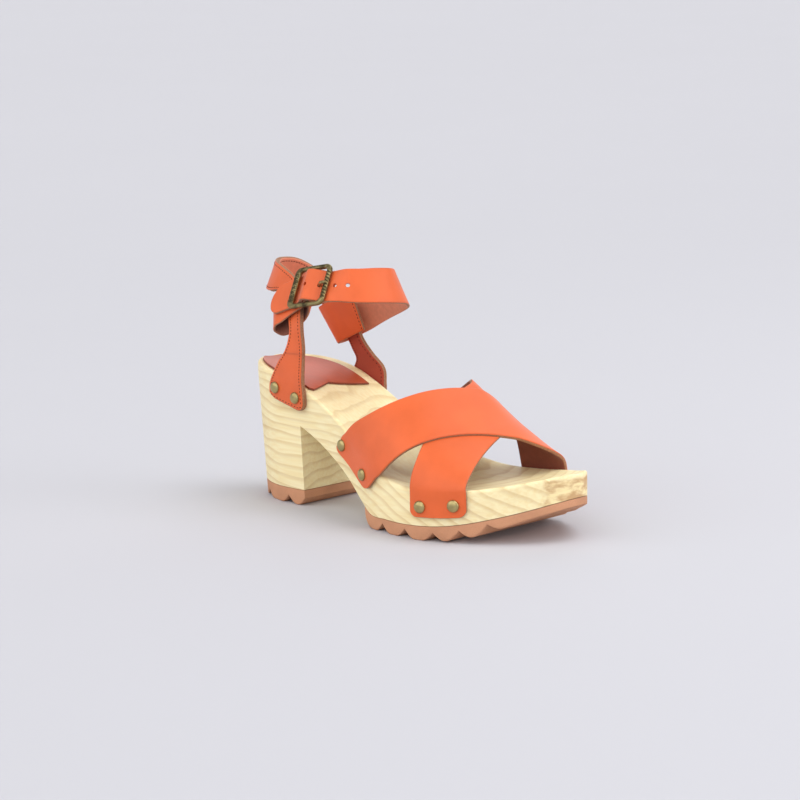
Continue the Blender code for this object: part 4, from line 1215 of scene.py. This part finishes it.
class SANDAL_OT_mould_rubbers(bpy.types.Operator):
    """Mould the heel lift and the forefoot runner with their scalloped tread"""

    bl_idname = "sandal.mould_rubbers"
    bl_label = "Mould the rubbers"

    def lugs(self, x, notch, pitch):
        """Flat lands with quarter-sine flanks that meet in a notch at every pitch."""
        away = np.abs((x - notch + pitch / 2) % pitch - pitch / 2)
        return LUG_DEPTH * (1 - np.sin(np.clip(away / ((LUG_PITCH - LUG_LAND) / 2), 0, 1) * math.pi / 2))

    def runner(self, name, x, bottom, top, rounding):
        """A section carried along the sole: outer wall, rounded lower edge, tread, inner wall and top."""
        x, bottom, top = (np.asarray(value, float)[:, None] for value in (x, bottom, top))
        lateral_y, medial_y = both(sole_side, x)
        reach = 0.5 * (medial_y - lateral_y)
        of_height, of_reach = RUBBER_ROUND_LIMITS
        radius = np.minimum(np.minimum(rounding, of_height * (top - bottom)), of_reach * reach)
        arc = np.linspace(0, math.pi / 2, RUBBER_EDGE_POINTS)[None]
        walls = top + (bottom + radius - top) * np.linspace(0, 1, RUBBER_WALL_ROWS)[None, :-1]
        edge_z = bottom + radius * (1 - np.sin(arc))
        inset = radius * (1 - np.cos(arc))
        outer_edge, inner_edge = both(wall_points, x + 0 * arc, edge_z)
        outer_edge[..., 1] += inset
        inner_edge[..., 1] -= inset
        share = np.linspace(0, 1, TREAD_COLUMNS)[None, 1:-1, None]
        tread = outer_edge[:, -1:] + (inner_edge[:, -1:] - outer_edge[:, -1:]) * share
        outer_wall, inner_wall = both(wall_points, x, walls)
        cover = inner_wall[:, :1] + (outer_wall[:, :1] - inner_wall[:, :1]) * share
        ring = np.concatenate([outer_wall, outer_edge, tread, inner_edge[:, ::-1], inner_wall[:, ::-1],
                               cover], 1)
        count, size = ring.shape[:2]
        points = np.vstack([ring.reshape(-1, 3), ring.mean(axis=1)[[0, -1]]])
        around = np.arange(size)
        caps = [np.stack([around, (around + 1) % size, np.full(size, middle)], -1) + start
                for start, middle in ((0, count * size), ((count - 1) * size, size + 1))]
        faces = [*quads(count, size, wrap_columns=True).tolist(), *np.vstack(caps).tolist()]
        return new_piece(name, points, np.array(faces, dtype=object))

    def execute(self, context):
        material = rubber_finish(context.scene.sandal_colours)
        rounding = context.scene.sandal_sizes.rubber_round / MM
        back_tip = TIP_FLAT + np.linspace(0, 1, TIP_STATIONS)[:-1] ** 2 * TIP_RUN
        x = np.concatenate([back_tip, np.arange(TIP_END, HEEL_FRONT, RUBBER_STATION), [HEEL_FRONT]])
        bottom = np.maximum(self.lugs(x, HEEL_NOTCH, HEEL_PITCH), self.lugs(x, HEEL_FRONT, LENGTH))
        lift = self.runner("heel_lift", x, bottom, np.full(len(x), HEEL_RUBBER_TOP), rounding)
        wear(lift, material, "rubber", "heel_rubber")
        tip = LENGTH - TIP_FLAT - np.linspace(1, 0, TIP_STATIONS)[1:] ** 2 * TIP_RUN
        before = LENGTH - TIP_END
        x = np.concatenate([np.arange(RUNNER_BACK, before, RUBBER_STATION), [before], tip])
        ball = self.lugs(x, FOREFOOT_NOTCH, LUG_PITCH)
        tread = np.where(x < TOE_NOTCH, ball, self.lugs(x, TOE_NOTCH, TOE_PITCH))
        tread = np.where(x < FOREFOOT_TREAD_END, tread, 0)
        bottom = np.maximum(column(TREAD_BASE, 1, x), 0) + tread
        top = column(SOLE_UNDERSIDE, 1, x) - GAP
        back = np.clip((x - RUNNER_BACK) / RUNNER_BACK_ROUND, 0, 1)
        heel_side = (top - RUNNER_BACK_LIP) * (1 - np.sqrt(1 - (1 - back) ** 2))
        bottom = np.where(back < 1, heel_side, bottom)
        runner = self.runner("forefoot_runner", x, bottom, top, rounding)
        wear(runner, material, "rubber", "forefoot_rubber")
        return {"FINISHED"}


class SANDAL_OT_lay_sock(bpy.types.Operator):
    """Lay the leather half sock on the heel seat"""

    bl_idname = "sandal.lay_sock"
    bl_label = "Lay the sock"

    def execute(self, context):
        corner = SOCK_CORNER_SHARE * context.scene.sandal_sizes.edge_round / MM
        piece = band("half_sock", sock_surface, SOCK_THICK, corner, stations=70, columns=60,
                     middle=SOCK_THICK / 2)
        wear(piece, sock_finish(context.scene.sandal_colours), "sock", "heel_sock")
        return {"FINISHED"}


class SANDAL_OT_cross_straps(bpy.types.Operator):
    """Lay the two crossed instep straps"""

    bl_idname = "sandal.cross_straps"
    bl_label = "Cross the straps"

    def execute(self, context):
        colours = context.scene.sandal_colours
        corner = context.scene.sandal_sizes.edge_round / MM
        # the flesh side is painted darker here: painted shade under the straps
        painted_shade_flesh = tint(colours.flesh, *STRAP_PAINTED_SHADE)
        material = leather_finish("strap_leather", colours.leather, painted_shade_flesh, colours)
        for name, lift in (("over", CROSS_LIFT), ("under", 0.0)):
            surface = strap_surface(name, lift)
            piece = band(name + "_strap", surface, STRAP_THICK, corner, stations=190, columns=40,
                         middle=-STRAP_THICK / 2, side=1)
            wear(piece, material, "leather", "upper")
        return {"FINISHED"}


class SANDAL_OT_sew_sling(bpy.types.Operator):
    """Sew the two-layer heel sling, with a seam along every edge on both sides"""

    bl_idname = "sandal.sew_sling"
    bl_label = "Sew the sling"

    def execute(self, context):
        colours = context.scene.sandal_colours
        sizes = context.scene.sandal_sizes
        corner = sizes.edge_round / MM
        material = leather_finish("sling_leather", colours.leather, colours.lining, colours, SLING_CREASE)
        sling = band("sling", sling_surface, SLING_THICK, corner, stations=260, columns=24,
                     groove=SLING_GROOVE)
        wear(sling, material, "leather", "heel_sling")
        inset = sizes.seam_inset / MM
        pitch = sizes.stitch_pitch / MM
        along = np.arange(inset + pitch, SLING_LENGTH - inset - pitch, pitch) / SLING_LENGTH
        width = widths(sling_surface, along)
        across = np.linspace(0, 1, int(TAB_WIDTH / pitch))[1:-1]
        ends = np.full(len(across), inset / SLING_LENGTH)
        runs = ((along, inset / width, False), (along, 1 - inset / width, False),
                (ends, across, True), (1 - ends, across, True))
        seams = seam("sling_seams", sling_surface, runs, SLING_THICK, sizes)
        wear(seams, thread_finish(colours), "leather")
        return {"FINISHED"}


class SANDAL_OT_loop_ankle_strap(bpy.types.Operator):
    """Loop the ankle strap through the buckle, round the instep and round the sling's inner neck"""

    bl_idname = "sandal.loop_ankle_strap"
    bl_label = "Loop the ankle strap"

    def execute(self, context):
        colours = context.scene.sandal_colours
        sizes = context.scene.sandal_sizes
        material = leather_finish("ankle_leather", colours.leather, colours.flesh, colours)
        corner = sizes.edge_round / MM
        strap = band("ankle_band", ankle_surface, ANKLE_THICK, corner, stations=330, columns=24)
        knots, rows = ankle_path()
        length = distances(rows[:, :3])[-1]
        rods = []
        for distance in (*STRAP_HOLES, PRONG_HOLE):
            near = smooth(knots, rows, (distance + np.array([-HOLE_RADIUS, 0, HOLE_RADIUS])) / length)
            reach = HOLE_REACH * unit(np.cross(near[2, :3] - near[0, :3], near[1, 3:]))
            path = np.array([near[1, :3] - reach, near[1, :3] + reach])
            rods.append(tube(path, np.full(2, HOLE_RADIUS), HOLE_SIDES))
        self.punch(strap, rods)
        wear(strap, material, "leather", "ankle_strap")
        run = (np.full(len(ANKLE_SEAM_SHARES), ANKLE_SEAM_AT), ANKLE_SEAM_SHARES, True)
        ankle_seam = seam("ankle_seam", ankle_surface, (run,), ANKLE_THICK, sizes)
        wear(ankle_seam, bpy.data.materials["dark_thread"], "leather")
        return {"FINISHED"}

    def punch(self, strap, rods):
        """Cut round holes: the strap less the rods, with the holes' walls marked as cut leather."""
        size = rods[0].shape[1]
        one = [*quads(2, size, wrap_columns=True).tolist(), list(range(size)), list(range(size, 2 * size))]
        faces = [[k + 2 * size * number for k in face] for number in range(len(rods)) for face in one]
        mesh = bpy.data.meshes.new("punch")
        mesh.from_pydata(((np.array(rods).reshape(-1, 3) + BASE) * MM).tolist(), [], faces)
        layer = mesh.attributes.new("cut", "FLOAT", "POINT")
        layer.data.foreach_set("value", np.ones(len(mesh.vertices), np.float32))
        rework(mesh, faced_out)
        tool = bpy.data.objects.new("punch", mesh)
        bpy.context.scene.collection.objects.link(tool)
        step = strap.modifiers.new("holes", "BOOLEAN")
        step.object = tool
        step.solver = "EXACT"
        graph = bpy.context.evaluated_depsgraph_get()
        punched = bpy.data.meshes.new_from_object(strap.evaluated_get(graph))
        rework(punched, in_triangles)
        strap.modifiers.clear()
        strap.data = punched
        keep_edges(punched, SHARP_ANGLE)
        bpy.data.objects.remove(tool)


class SANDAL_OT_loop_buckle_strap(bpy.types.Operator):
    """Loop the short strap round the buckle's pin and the sling's outer neck"""

    bl_idname = "sandal.loop_buckle_strap"
    bl_label = "Loop the buckle strap"

    def execute(self, context):
        colours = context.scene.sandal_colours
        # the loop's inner side is painted dark: painted shade inside the loop
        material = leather_finish("loop_leather", colours.leather, tint(colours.lining, LOOP_PAINTED_SHADE), colours)
        corner = context.scene.sandal_sizes.edge_round / MM
        loop = band("buckle_loop", loop_surface, WRAP_THICK, corner, stations=220, columns=20, side=1,
                    closed=True)
        wear(loop, material, "leather", "buckle_strap")
        return {"FINISHED"}


class SANDAL_OT_cast_buckle(bpy.types.Operator):
    """Cast the buckle's frame, pin and prong"""

    bl_idname = "sandal.cast_buckle"
    bl_label = "Cast the buckle"

    def outline(self, left, right, tall, radius):
        """Rounded oblong: four quarter circles joined by straight runs."""
        corners = np.array([(right, tall, 0), (left, tall, 90), (left, -tall, 180), (right, -tall, 270)],
                           float)
        angle = np.radians(corners[:, 2:] + np.linspace(0, 90, CORNER_POINTS))
        arcs = np.stack([corners[:, :1] - np.sign(corners[:, :1]) * radius + radius * np.cos(angle),
                         corners[:, 1:2] - np.sign(corners[:, 1:2]) * radius + radius * np.sin(angle)], -1)
        ends = np.roll(arcs[:, :1], -1, axis=0)
        run = np.linspace(0, 1, RUN_POINTS)[None, 1:-1, None]
        straight = arcs[:, -1:] + (ends - arcs[:, -1:]) * run
        return np.concatenate([arcs, straight], 1).reshape(-1, 2)

    def relief(self, s, t, n, half_long, half_tall):
        """How far the worked bars are sunk, from 0 to 1.

        One bar has slanted sine ridges, and the other has bosses from a sum of sines.
        """
        across, along, up = RELIEF_FADE
        room = half_tall - BAR_SIDE - RELIEF_MARGIN
        inside = np.clip((room - np.abs(t)) / along, 0, 1) * np.clip(n / up, 0, 1)
        ridged = inside * np.clip((s - half_long + BAR_RIGHT) / across, 0, 1)
        pebbled = inside * np.clip((BAR_LEFT - half_long - s) / across, 0, 1)
        ridges = 0.5 - 0.5 * np.sin(2 * math.pi * (t + 0.5 * s) / RIDGE_PITCH)
        wave = BOSS_WAVE[0] * np.sin(BOSS_WAVE[1] * s)
        bosses = 0.5 - 0.25 * (np.sin(2 * math.pi * (t / BOSS_PITCH[0] + wave))
                               + np.sin(2 * math.pi * (s / BOSS_PITCH[1] + t / BOSS_PITCH[2])))
        return ridges * ridged + bosses * pebbled

    def execute(self, context):
        """The frame's section is an oval of powers of cosine and sine, laid between two rounded oblongs."""
        colours = context.scene.sandal_colours
        half_long = BUCKLE_LONG / 2
        half_tall = BUCKLE_TALL / 2
        outer = self.outline(-half_long, half_long, half_tall, BUCKLE_CORNER)
        inner = self.outline(BAR_LEFT - half_long, half_long - BAR_RIGHT, half_tall - BAR_SIDE,
                             BUCKLE_CORNER / 2)
        angle = np.linspace(0, 2 * math.pi, SECTION_POINTS, endpoint=False)
        rounded, raised = (np.sign(wave) * np.abs(wave) ** power
                           for wave, power in zip((np.cos(angle), np.sin(angle)), SECTION_POWERS))
        place = 0.5 * (outer + inner)[:, None] + 0.5 * (outer - inner)[:, None] * rounded[None, :, None]
        s, t = np.moveaxis(place, -1, 0)
        n = np.broadcast_to(raised * BUCKLE_THICK / 2, s.shape)
        low = self.relief(s, t, n, half_long, half_tall)
        faces = quads(*s.shape, wrap_rows=True, wrap_columns=True)
        metal = brass_finish("buckle_brass", colours, True)
        buckle = new_piece("buckle", in_buckle(s, t, n - RELIEF_DEPTH * low), faces, {"low": low},
                           BUCKLE_SHARP)
        wear(buckle, metal, "brass", "buckle_frame")
        reach = np.linspace(-1, 1, PIN_STATIONS) * (half_tall - (1 - PIN_INTO_BAR) * BAR_SIDE)
        pin_path = in_buckle(0 * reach, reach, 0 * reach + PIN_DEPTH)
        pin = tube(pin_path, np.full(PIN_STATIONS, PIN_RADIUS), ROD_SIDES)
        plain = brass_finish("plain_brass", colours)
        wear(new_piece("buckle_pin", *self.capped(pin)), plain, "brass")
        rows = np.array([(s, 0, n) for s, n in PRONG_ROWS], float)
        path = in_buckle(*rows.T)
        share = np.linspace(0, 1, PRONG_STATIONS)
        tip = context.scene.sandal_sizes.prong_tip / MM
        radius = np.interp(share, PRONG_TAPER, (PRONG_RADIUS, PRONG_RADIUS, tip, PRONG_END))
        prong = tube(smooth(path_share(path), path, share), radius, ROD_SIDES)
        wear(new_piece("prong", *self.capped(prong)), plain, "brass", "buckle_prong")
        return {"FINISHED"}

    def capped(self, rings):
        """Points and faces of a tube whose ends are drawn to their middles."""
        ends = rings.mean(axis=1, keepdims=True) * np.ones((1, rings.shape[1], 1))
        rings = np.concatenate([ends[:1], rings, ends[-1:]])
        return rings, quads(*rings.shape[:2], wrap_columns=True)


class SANDAL_OT_drive_nails(bpy.types.Operator):
    """Drive the domed nails through the strap ends"""

    bl_idname = "sandal.drive_nails"
    bl_label = "Drive the nails"

    def execute(self, context):
        """Each head is a low dome turned about the wall's normal: a power of the sine over the cosine."""
        dome = context.scene.sandal_sizes.nail_dome / MM
        rise = np.linspace(math.pi / 2, 0, DOME_ROWS)
        under_radius, under_height = NAIL_UNDERSIDE
        radius = np.concatenate([NAIL_HEAD * np.cos(rise), [under_radius, NAIL_SHANK, NAIL_SHANK, 0]])
        radius[0] = 0
        height = np.concatenate([dome * np.sin(rise) ** NAIL_ROUND,
                                 [under_height, under_height, NAIL_REACH, NAIL_REACH]])
        angle = np.linspace(0, 2 * math.pi, DOME_SIDES, endpoint=False)
        names, sides, x, z, seats = (np.array(values) for values in zip(*NAILS))
        lateral = sides == "lateral"
        (wall_x, outer_y), (_, inner_y) = both(wall, x, z)
        normal = [np.where(lateral, outer, inner) for outer, inner in zip(*both(outward, x))]
        normal = np.column_stack([*normal, np.zeros(len(x))])
        place = np.stack([wall_x, np.where(lateral, outer_y, inner_y), z], -1)
        place = place + normal * (seats + 2 * GAP)[:, None]
        up = np.array([0.0, 0, 1])
        side_way = np.cross(up, normal)
        ring = np.cos(angle)[:, None, None] * side_way + np.sin(angle)[:, None, None] * up
        points = place + radius[:, None, None, None] * ring + height[:, None, None, None] * normal
        points = np.moveaxis(points, 2, 0)
        one = quads(len(radius), len(angle), wrap_columns=True)
        faces = (one[None] + np.arange(len(x))[:, None, None] * len(radius) * len(angle)).reshape(-1, 4)
        heads = new_piece("nail_heads", points, faces)
        metal = brass_finish("nail_brass", context.scene.sandal_colours, polish=NAIL_POLISH)
        wear(heads, metal, "brass", *["nail_" + str(name) for name in names])
        return {"FINISHED"}


class SANDAL_OT_set_stage(bpy.types.Operator):
    """Set the pale floor, the soft lights and the camera"""

    bl_idname = "sandal.set_stage"
    bl_label = "Set the stage"

    def place(self, name, data, axes, at):
        """Link a light or a camera, turned so that its right, up and back are the given axes."""
        turned = Matrix(np.stack(axes, 1).tolist()).to_4x4()
        turned.translation = at
        item = bpy.data.objects.new(name, data)
        item.matrix_world = turned
        bpy.context.scene.collection.objects.link(item)
        return item

    def lamp(self, name, kind, at, power, colour, settings):
        """Light that faces the middle of the shoe."""
        light = bpy.data.lights.new(name, kind)
        light.energy = power
        light.color = colour
        for setting, value in settings.items():
            setattr(light, setting, value)
        back = unit(np.array(at) - np.array(LIT_POINT))
        right = unit(np.cross((0, 0, 1), back))
        self.place(name, light, (right, np.cross(back, right), back), at)

    def floor(self, colours):
        """Floor that is flat near the shoe and rises all round: a low slope, then a quarter circle."""
        bend = np.linspace(0.1, 1.4, 14)
        flat = np.linspace(0.3, FLOOR_RADIUS, 40)
        radius = np.concatenate([[0.0], flat, FLOOR_RADIUS + FLOOR_SWEEP * np.sin(bend)])
        far = np.clip(radius - FLOOR_FLAT, 0, FLOOR_RADIUS - FLOOR_FLAT)
        sweep = np.concatenate([np.zeros(len(flat) + 1), FLOOR_SWEEP * (1 - np.cos(bend))])
        height = FLOOR_SLOPE * far * ease(far / FLOOR_FADE) + sweep
        angle = np.linspace(0, 2 * math.pi, 64, endpoint=False)
        points = np.stack([radius[:, None] * np.cos(angle), radius[:, None] * np.sin(angle),
                           height[:, None] + 0 * angle], -1) / MM - BASE
        faces = quads(*points.shape[:2], wrap_columns=True)[:, ::-1]
        floor = new_piece("studio_floor", points, faces, sharp=ALL_SMOOTH)
        floor.data.flip_normals()
        floor.data.materials.append(floor_finish(colours))

    def camera(self):
        """Camera of the photo: turned by its azimuth and elevation, then rolled about its own view."""
        azimuth, elevation, roll = np.radians((CAMERA_AZIMUTH, CAMERA_ELEVATION, CAMERA_ROLL))
        back = np.array([math.sin(azimuth) * math.cos(elevation), -math.cos(azimuth) * math.cos(elevation),
                         math.sin(elevation)])
        right = np.array([math.cos(azimuth), math.sin(azimuth), 0])
        up = np.cross(back, right)
        turned_right = math.cos(roll) * right + math.sin(roll) * up
        turned_up = math.cos(roll) * up - math.sin(roll) * right
        lens = bpy.data.cameras.new("photo_camera")
        lens.lens = CAMERA_LENS
        lens.sensor_width = CAMERA_SENSOR
        return self.place("photo_camera", lens, (turned_right, turned_up, back), (CAMERA_AT + BASE) * MM)

    def execute(self, context):
        scene = context.scene
        self.floor(scene.sandal_colours)
        for row in LAMPS:
            self.lamp(*row)
        world = bpy.data.worlds.new("studio_air")
        world.use_nodes = True
        air = world.node_tree.nodes["Background"]
        air.inputs["Color"].default_value = AIR_COLOUR
        air.inputs["Strength"].default_value = AIR_STRENGTH
        scene.world = world
        scene.view_settings.view_transform = "Standard"
        scene.camera = self.camera()
        return {"FINISHED"}


STEPS = (
    SANDAL_OT_carve_sole,
    SANDAL_OT_mould_rubbers,
    SANDAL_OT_lay_sock,
    SANDAL_OT_cross_straps,
    SANDAL_OT_sew_sling,
    SANDAL_OT_loop_ankle_strap,
    SANDAL_OT_loop_buckle_strap,
    SANDAL_OT_cast_buckle,
    SANDAL_OT_drive_nails,
    SANDAL_OT_set_stage,
)


class SANDAL_PT_steps(bpy.types.Panel):
    """Steps and settings of the sandal"""

    bl_label = "Sandal"
    bl_space_type = "VIEW_3D"
    bl_region_type = "UI"
    bl_category = "Sandal"

    def draw(self, context):
        for step in STEPS:
            self.layout.operator(step.bl_idname)
        for group in (context.scene.sandal_sizes, context.scene.sandal_colours):
            for name in group.__annotations__:
                self.layout.prop(group, name)


CLASSES = (SandalSizes, SandalColours, *STEPS, SANDAL_PT_steps)


def register():
    """Register the classes and hang the settings on the scene."""
    for kind in CLASSES:
        bpy.utils.register_class(kind)
    bpy.types.Scene.sandal_sizes = bpy.props.PointerProperty(type=SandalSizes)
    bpy.types.Scene.sandal_colours = bpy.props.PointerProperty(type=SandalColours)


def unregister():
    """Take the settings and the classes away again."""
    del bpy.types.Scene.sandal_sizes
    del bpy.types.Scene.sandal_colours
    for kind in reversed(CLASSES):
        bpy.utils.unregister_class(kind)


def main():
    """Make every piece in order."""
    register()
    bpy.ops.sandal.carve_sole()
    bpy.ops.sandal.mould_rubbers()
    bpy.ops.sandal.lay_sock()
    bpy.ops.sandal.cross_straps()
    bpy.ops.sandal.sew_sling()
    bpy.ops.sandal.loop_ankle_strap()
    bpy.ops.sandal.loop_buckle_strap()
    bpy.ops.sandal.cast_buckle()
    bpy.ops.sandal.drive_nails()
    bpy.ops.sandal.set_stage()


if __name__ == "__main__":
    main()
